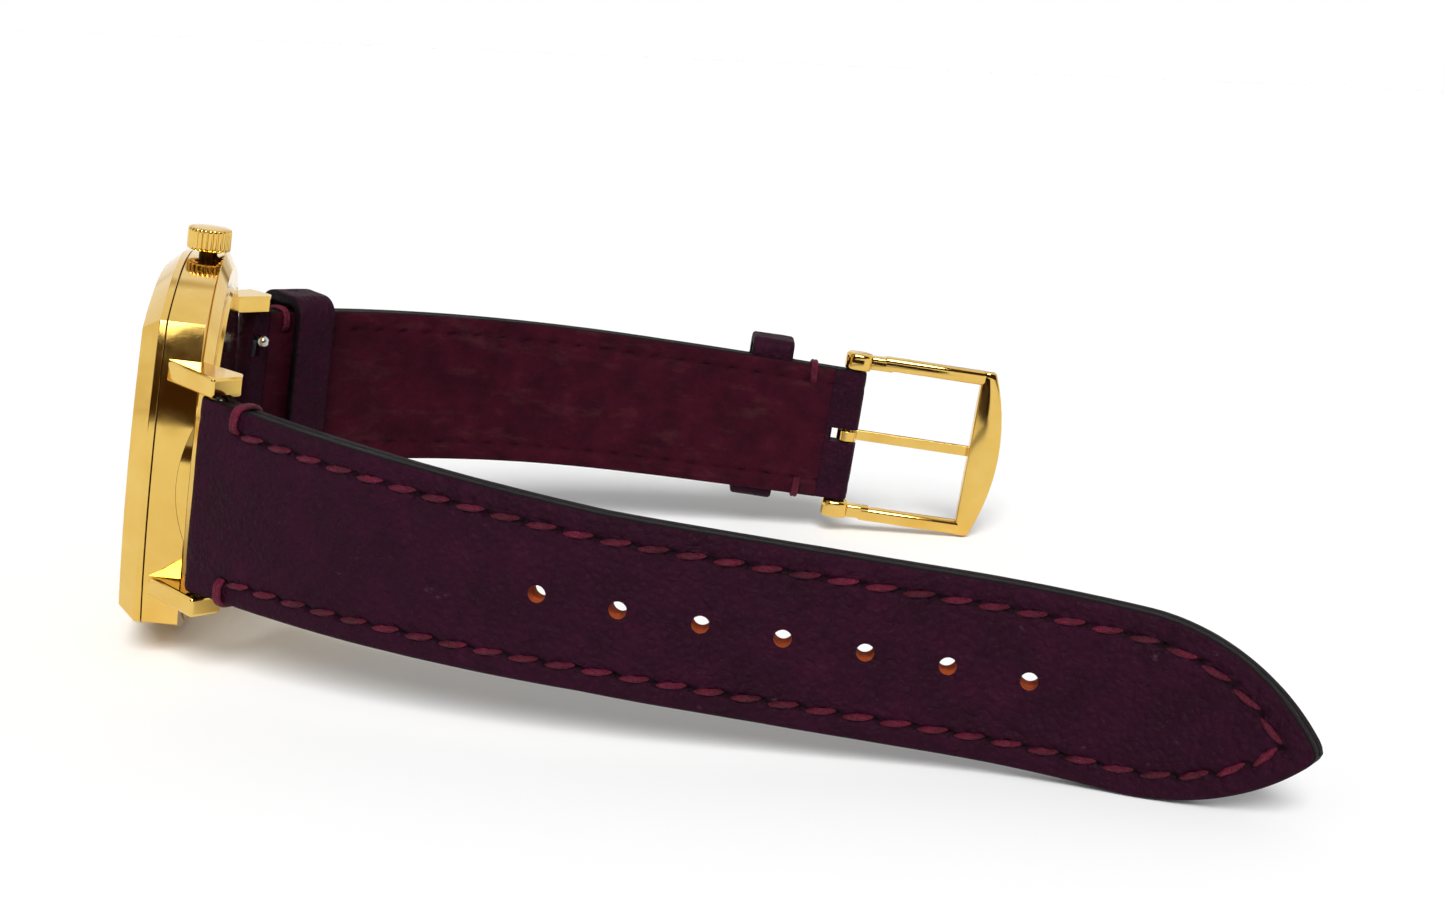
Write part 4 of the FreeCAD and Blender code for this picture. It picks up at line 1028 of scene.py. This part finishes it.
def makeWorld():
    # white room for the eye; shiny parts also see its darker corners
    settings = {"light": 0.43, "dimWay": (-0.25, -0.96, 0.10)}
    world = bpy.data.worlds.new("studio")
    world.use_nodes = True
    tree = world.node_tree
    tree.nodes.clear()
    rays = addNode(tree, "ShaderNodeLightPath")
    seen = addNode(tree, "ShaderNodeMath", {"operation": "MAXIMUM"},
        {0: rays.outputs["Is Camera Ray"], 1: rays.outputs["Is Transmission Ray"]})
    place = addNode(tree, "ShaderNodeTexCoord")
    facing = addNode(tree, "ShaderNodeVectorMath", {"operation": "DOT_PRODUCT", 1: settings["dimWay"]},
        {0: place.outputs["Generated"]})
    clutter = addNode(tree, "ShaderNodeTexNoise", {"Scale": 3.4, "Detail": 4.0, "Roughness": 0.6},
        {"Vector": place.outputs["Generated"]})
    rough = addNode(tree, "ShaderNodeTexNoise", {"Scale": 30.0, "Detail": 3.0, "Roughness": 0.55},
        {"Vector": place.outputs["Generated"]})
    broad = addNode(tree, "ShaderNodeMath", {"operation": "MULTIPLY_ADD", 1: 0.9},
        {0: clutter.outputs["Fac"], 2: facing.outputs["Value"]})
    both = addNode(tree, "ShaderNodeMath", {"operation": "MULTIPLY_ADD", 1: 0.7},
        {0: rough.outputs["Fac"], 2: broad.outputs[0]})
    scaled = addNode(tree, "ShaderNodeMath", {"operation": "MULTIPLY", 1: 0.7}, {0: both.outputs[0]})
    room = addNode(tree, "ShaderNodeValToRGB", {"stops": [(0.72, grey(1.0)), (0.77, colour("DCCBA8")),
        (0.81, colour("A0682C")), (0.88, colour("3E2812"))]}, {"Fac": scaled.outputs[0]})
    shelf = addNode(tree, "ShaderNodeTexNoise", {"Scale": 4.4, "Detail": 2.0, "Roughness": 0.5},
        {"Vector": place.outputs["Generated"]})
    boxes = addNode(tree, "ShaderNodeValToRGB", {"stops": [(0.53, grey(1.0)), (0.60, colour("D6CDB8")),
        (0.66, colour("7C6A48"))]}, {"Fac": shelf.outputs["Fac"]})
    things = addNode(tree, "ShaderNodeMix", {"data_type": "RGBA", "blend_type": "MULTIPLY", 0: 1.0},
        {6: room.outputs["Color"], 7: boxes.outputs["Color"]})
    soft = addNode(tree, "ShaderNodeBackground", {"Color": grey(1.0), "Strength": settings["light"]})
    seenInGold = addNode(tree, "ShaderNodeBackground", {"Strength": 1.0}, {"Color": things.outputs[2]})
    white = addNode(tree, "ShaderNodeBackground", {"Color": grey(1.0), "Strength": 1.0})
    shiny = addNode(tree, "ShaderNodeMixShader", links={0: rays.outputs["Is Glossy Ray"], 1: soft.outputs[0],
        2: seenInGold.outputs[0]})
    mix = addNode(tree, "ShaderNodeMixShader", links={0: seen.outputs[0], 1: shiny.outputs[0],
        2: white.outputs[0]})
    addNode(tree, "ShaderNodeOutputWorld", links={"Surface": mix.outputs[0]})
    bpy.context.scene.world = world


def addLamp(name, kind, settings):
    lamp = bpy.data.lights.new(name, kind)
    lamp.energy = settings["power"]
    if kind == "SUN":
        lamp.angle = settings["size"][0]
    else:
        lamp.shape = "RECTANGLE"
        lamp.size, lamp.size_y = settings["size"]
    item = bpy.data.objects.new(name, lamp)
    bpy.context.collection.objects.link(item)
    place = Vector(settings["place"])
    item.matrix_world = Matrix.Translation(place) @ (Vector(settings["aim"]) - place).to_track_quat("-Z",
        "Y").to_matrix().to_4x4()


def placeCamera():
    settings = {"place": (-25.3, -184.77, 56.5), "down": 11.52, "right": 10.05, "roll": 2.47, "lens": 48.99}
    camera = bpy.data.objects.new("camera", bpy.data.cameras.new("camera"))
    bpy.context.collection.objects.link(camera)
    camera.data.lens = settings["lens"]
    camera.data.clip_start = 0.01
    turn = Matrix.Rotation(-math.radians(settings["right"]), 4, "Z")
    tilt = Matrix.Rotation(math.radians(90 - settings["down"]), 4, "X")
    roll = Matrix.Rotation(math.radians(settings["roll"]), 4, "Z")
    camera.matrix_world = Matrix.Translation(Vector(settings["place"]) * mm) @ turn @ tilt @ roll
    bpy.context.scene.camera = camera


makeFloor()
makeWorld()
addLamp("skylight", "SUN", {"power": 3.2, "size": (0.5, 0.5), "place": (-0.12, -0.74, 0.66),
    "aim": (0.0, 0.0, 0.0)})
addLamp("windowLeft", "AREA", {"power": 0.25, "size": (0.35, 0.5), "place": (-0.55, -0.35, 0.35),
    "aim": (0.0, 0.0, 0.01)})
placeCamera()
bpy.context.scene.view_settings.view_transform = "Standard"
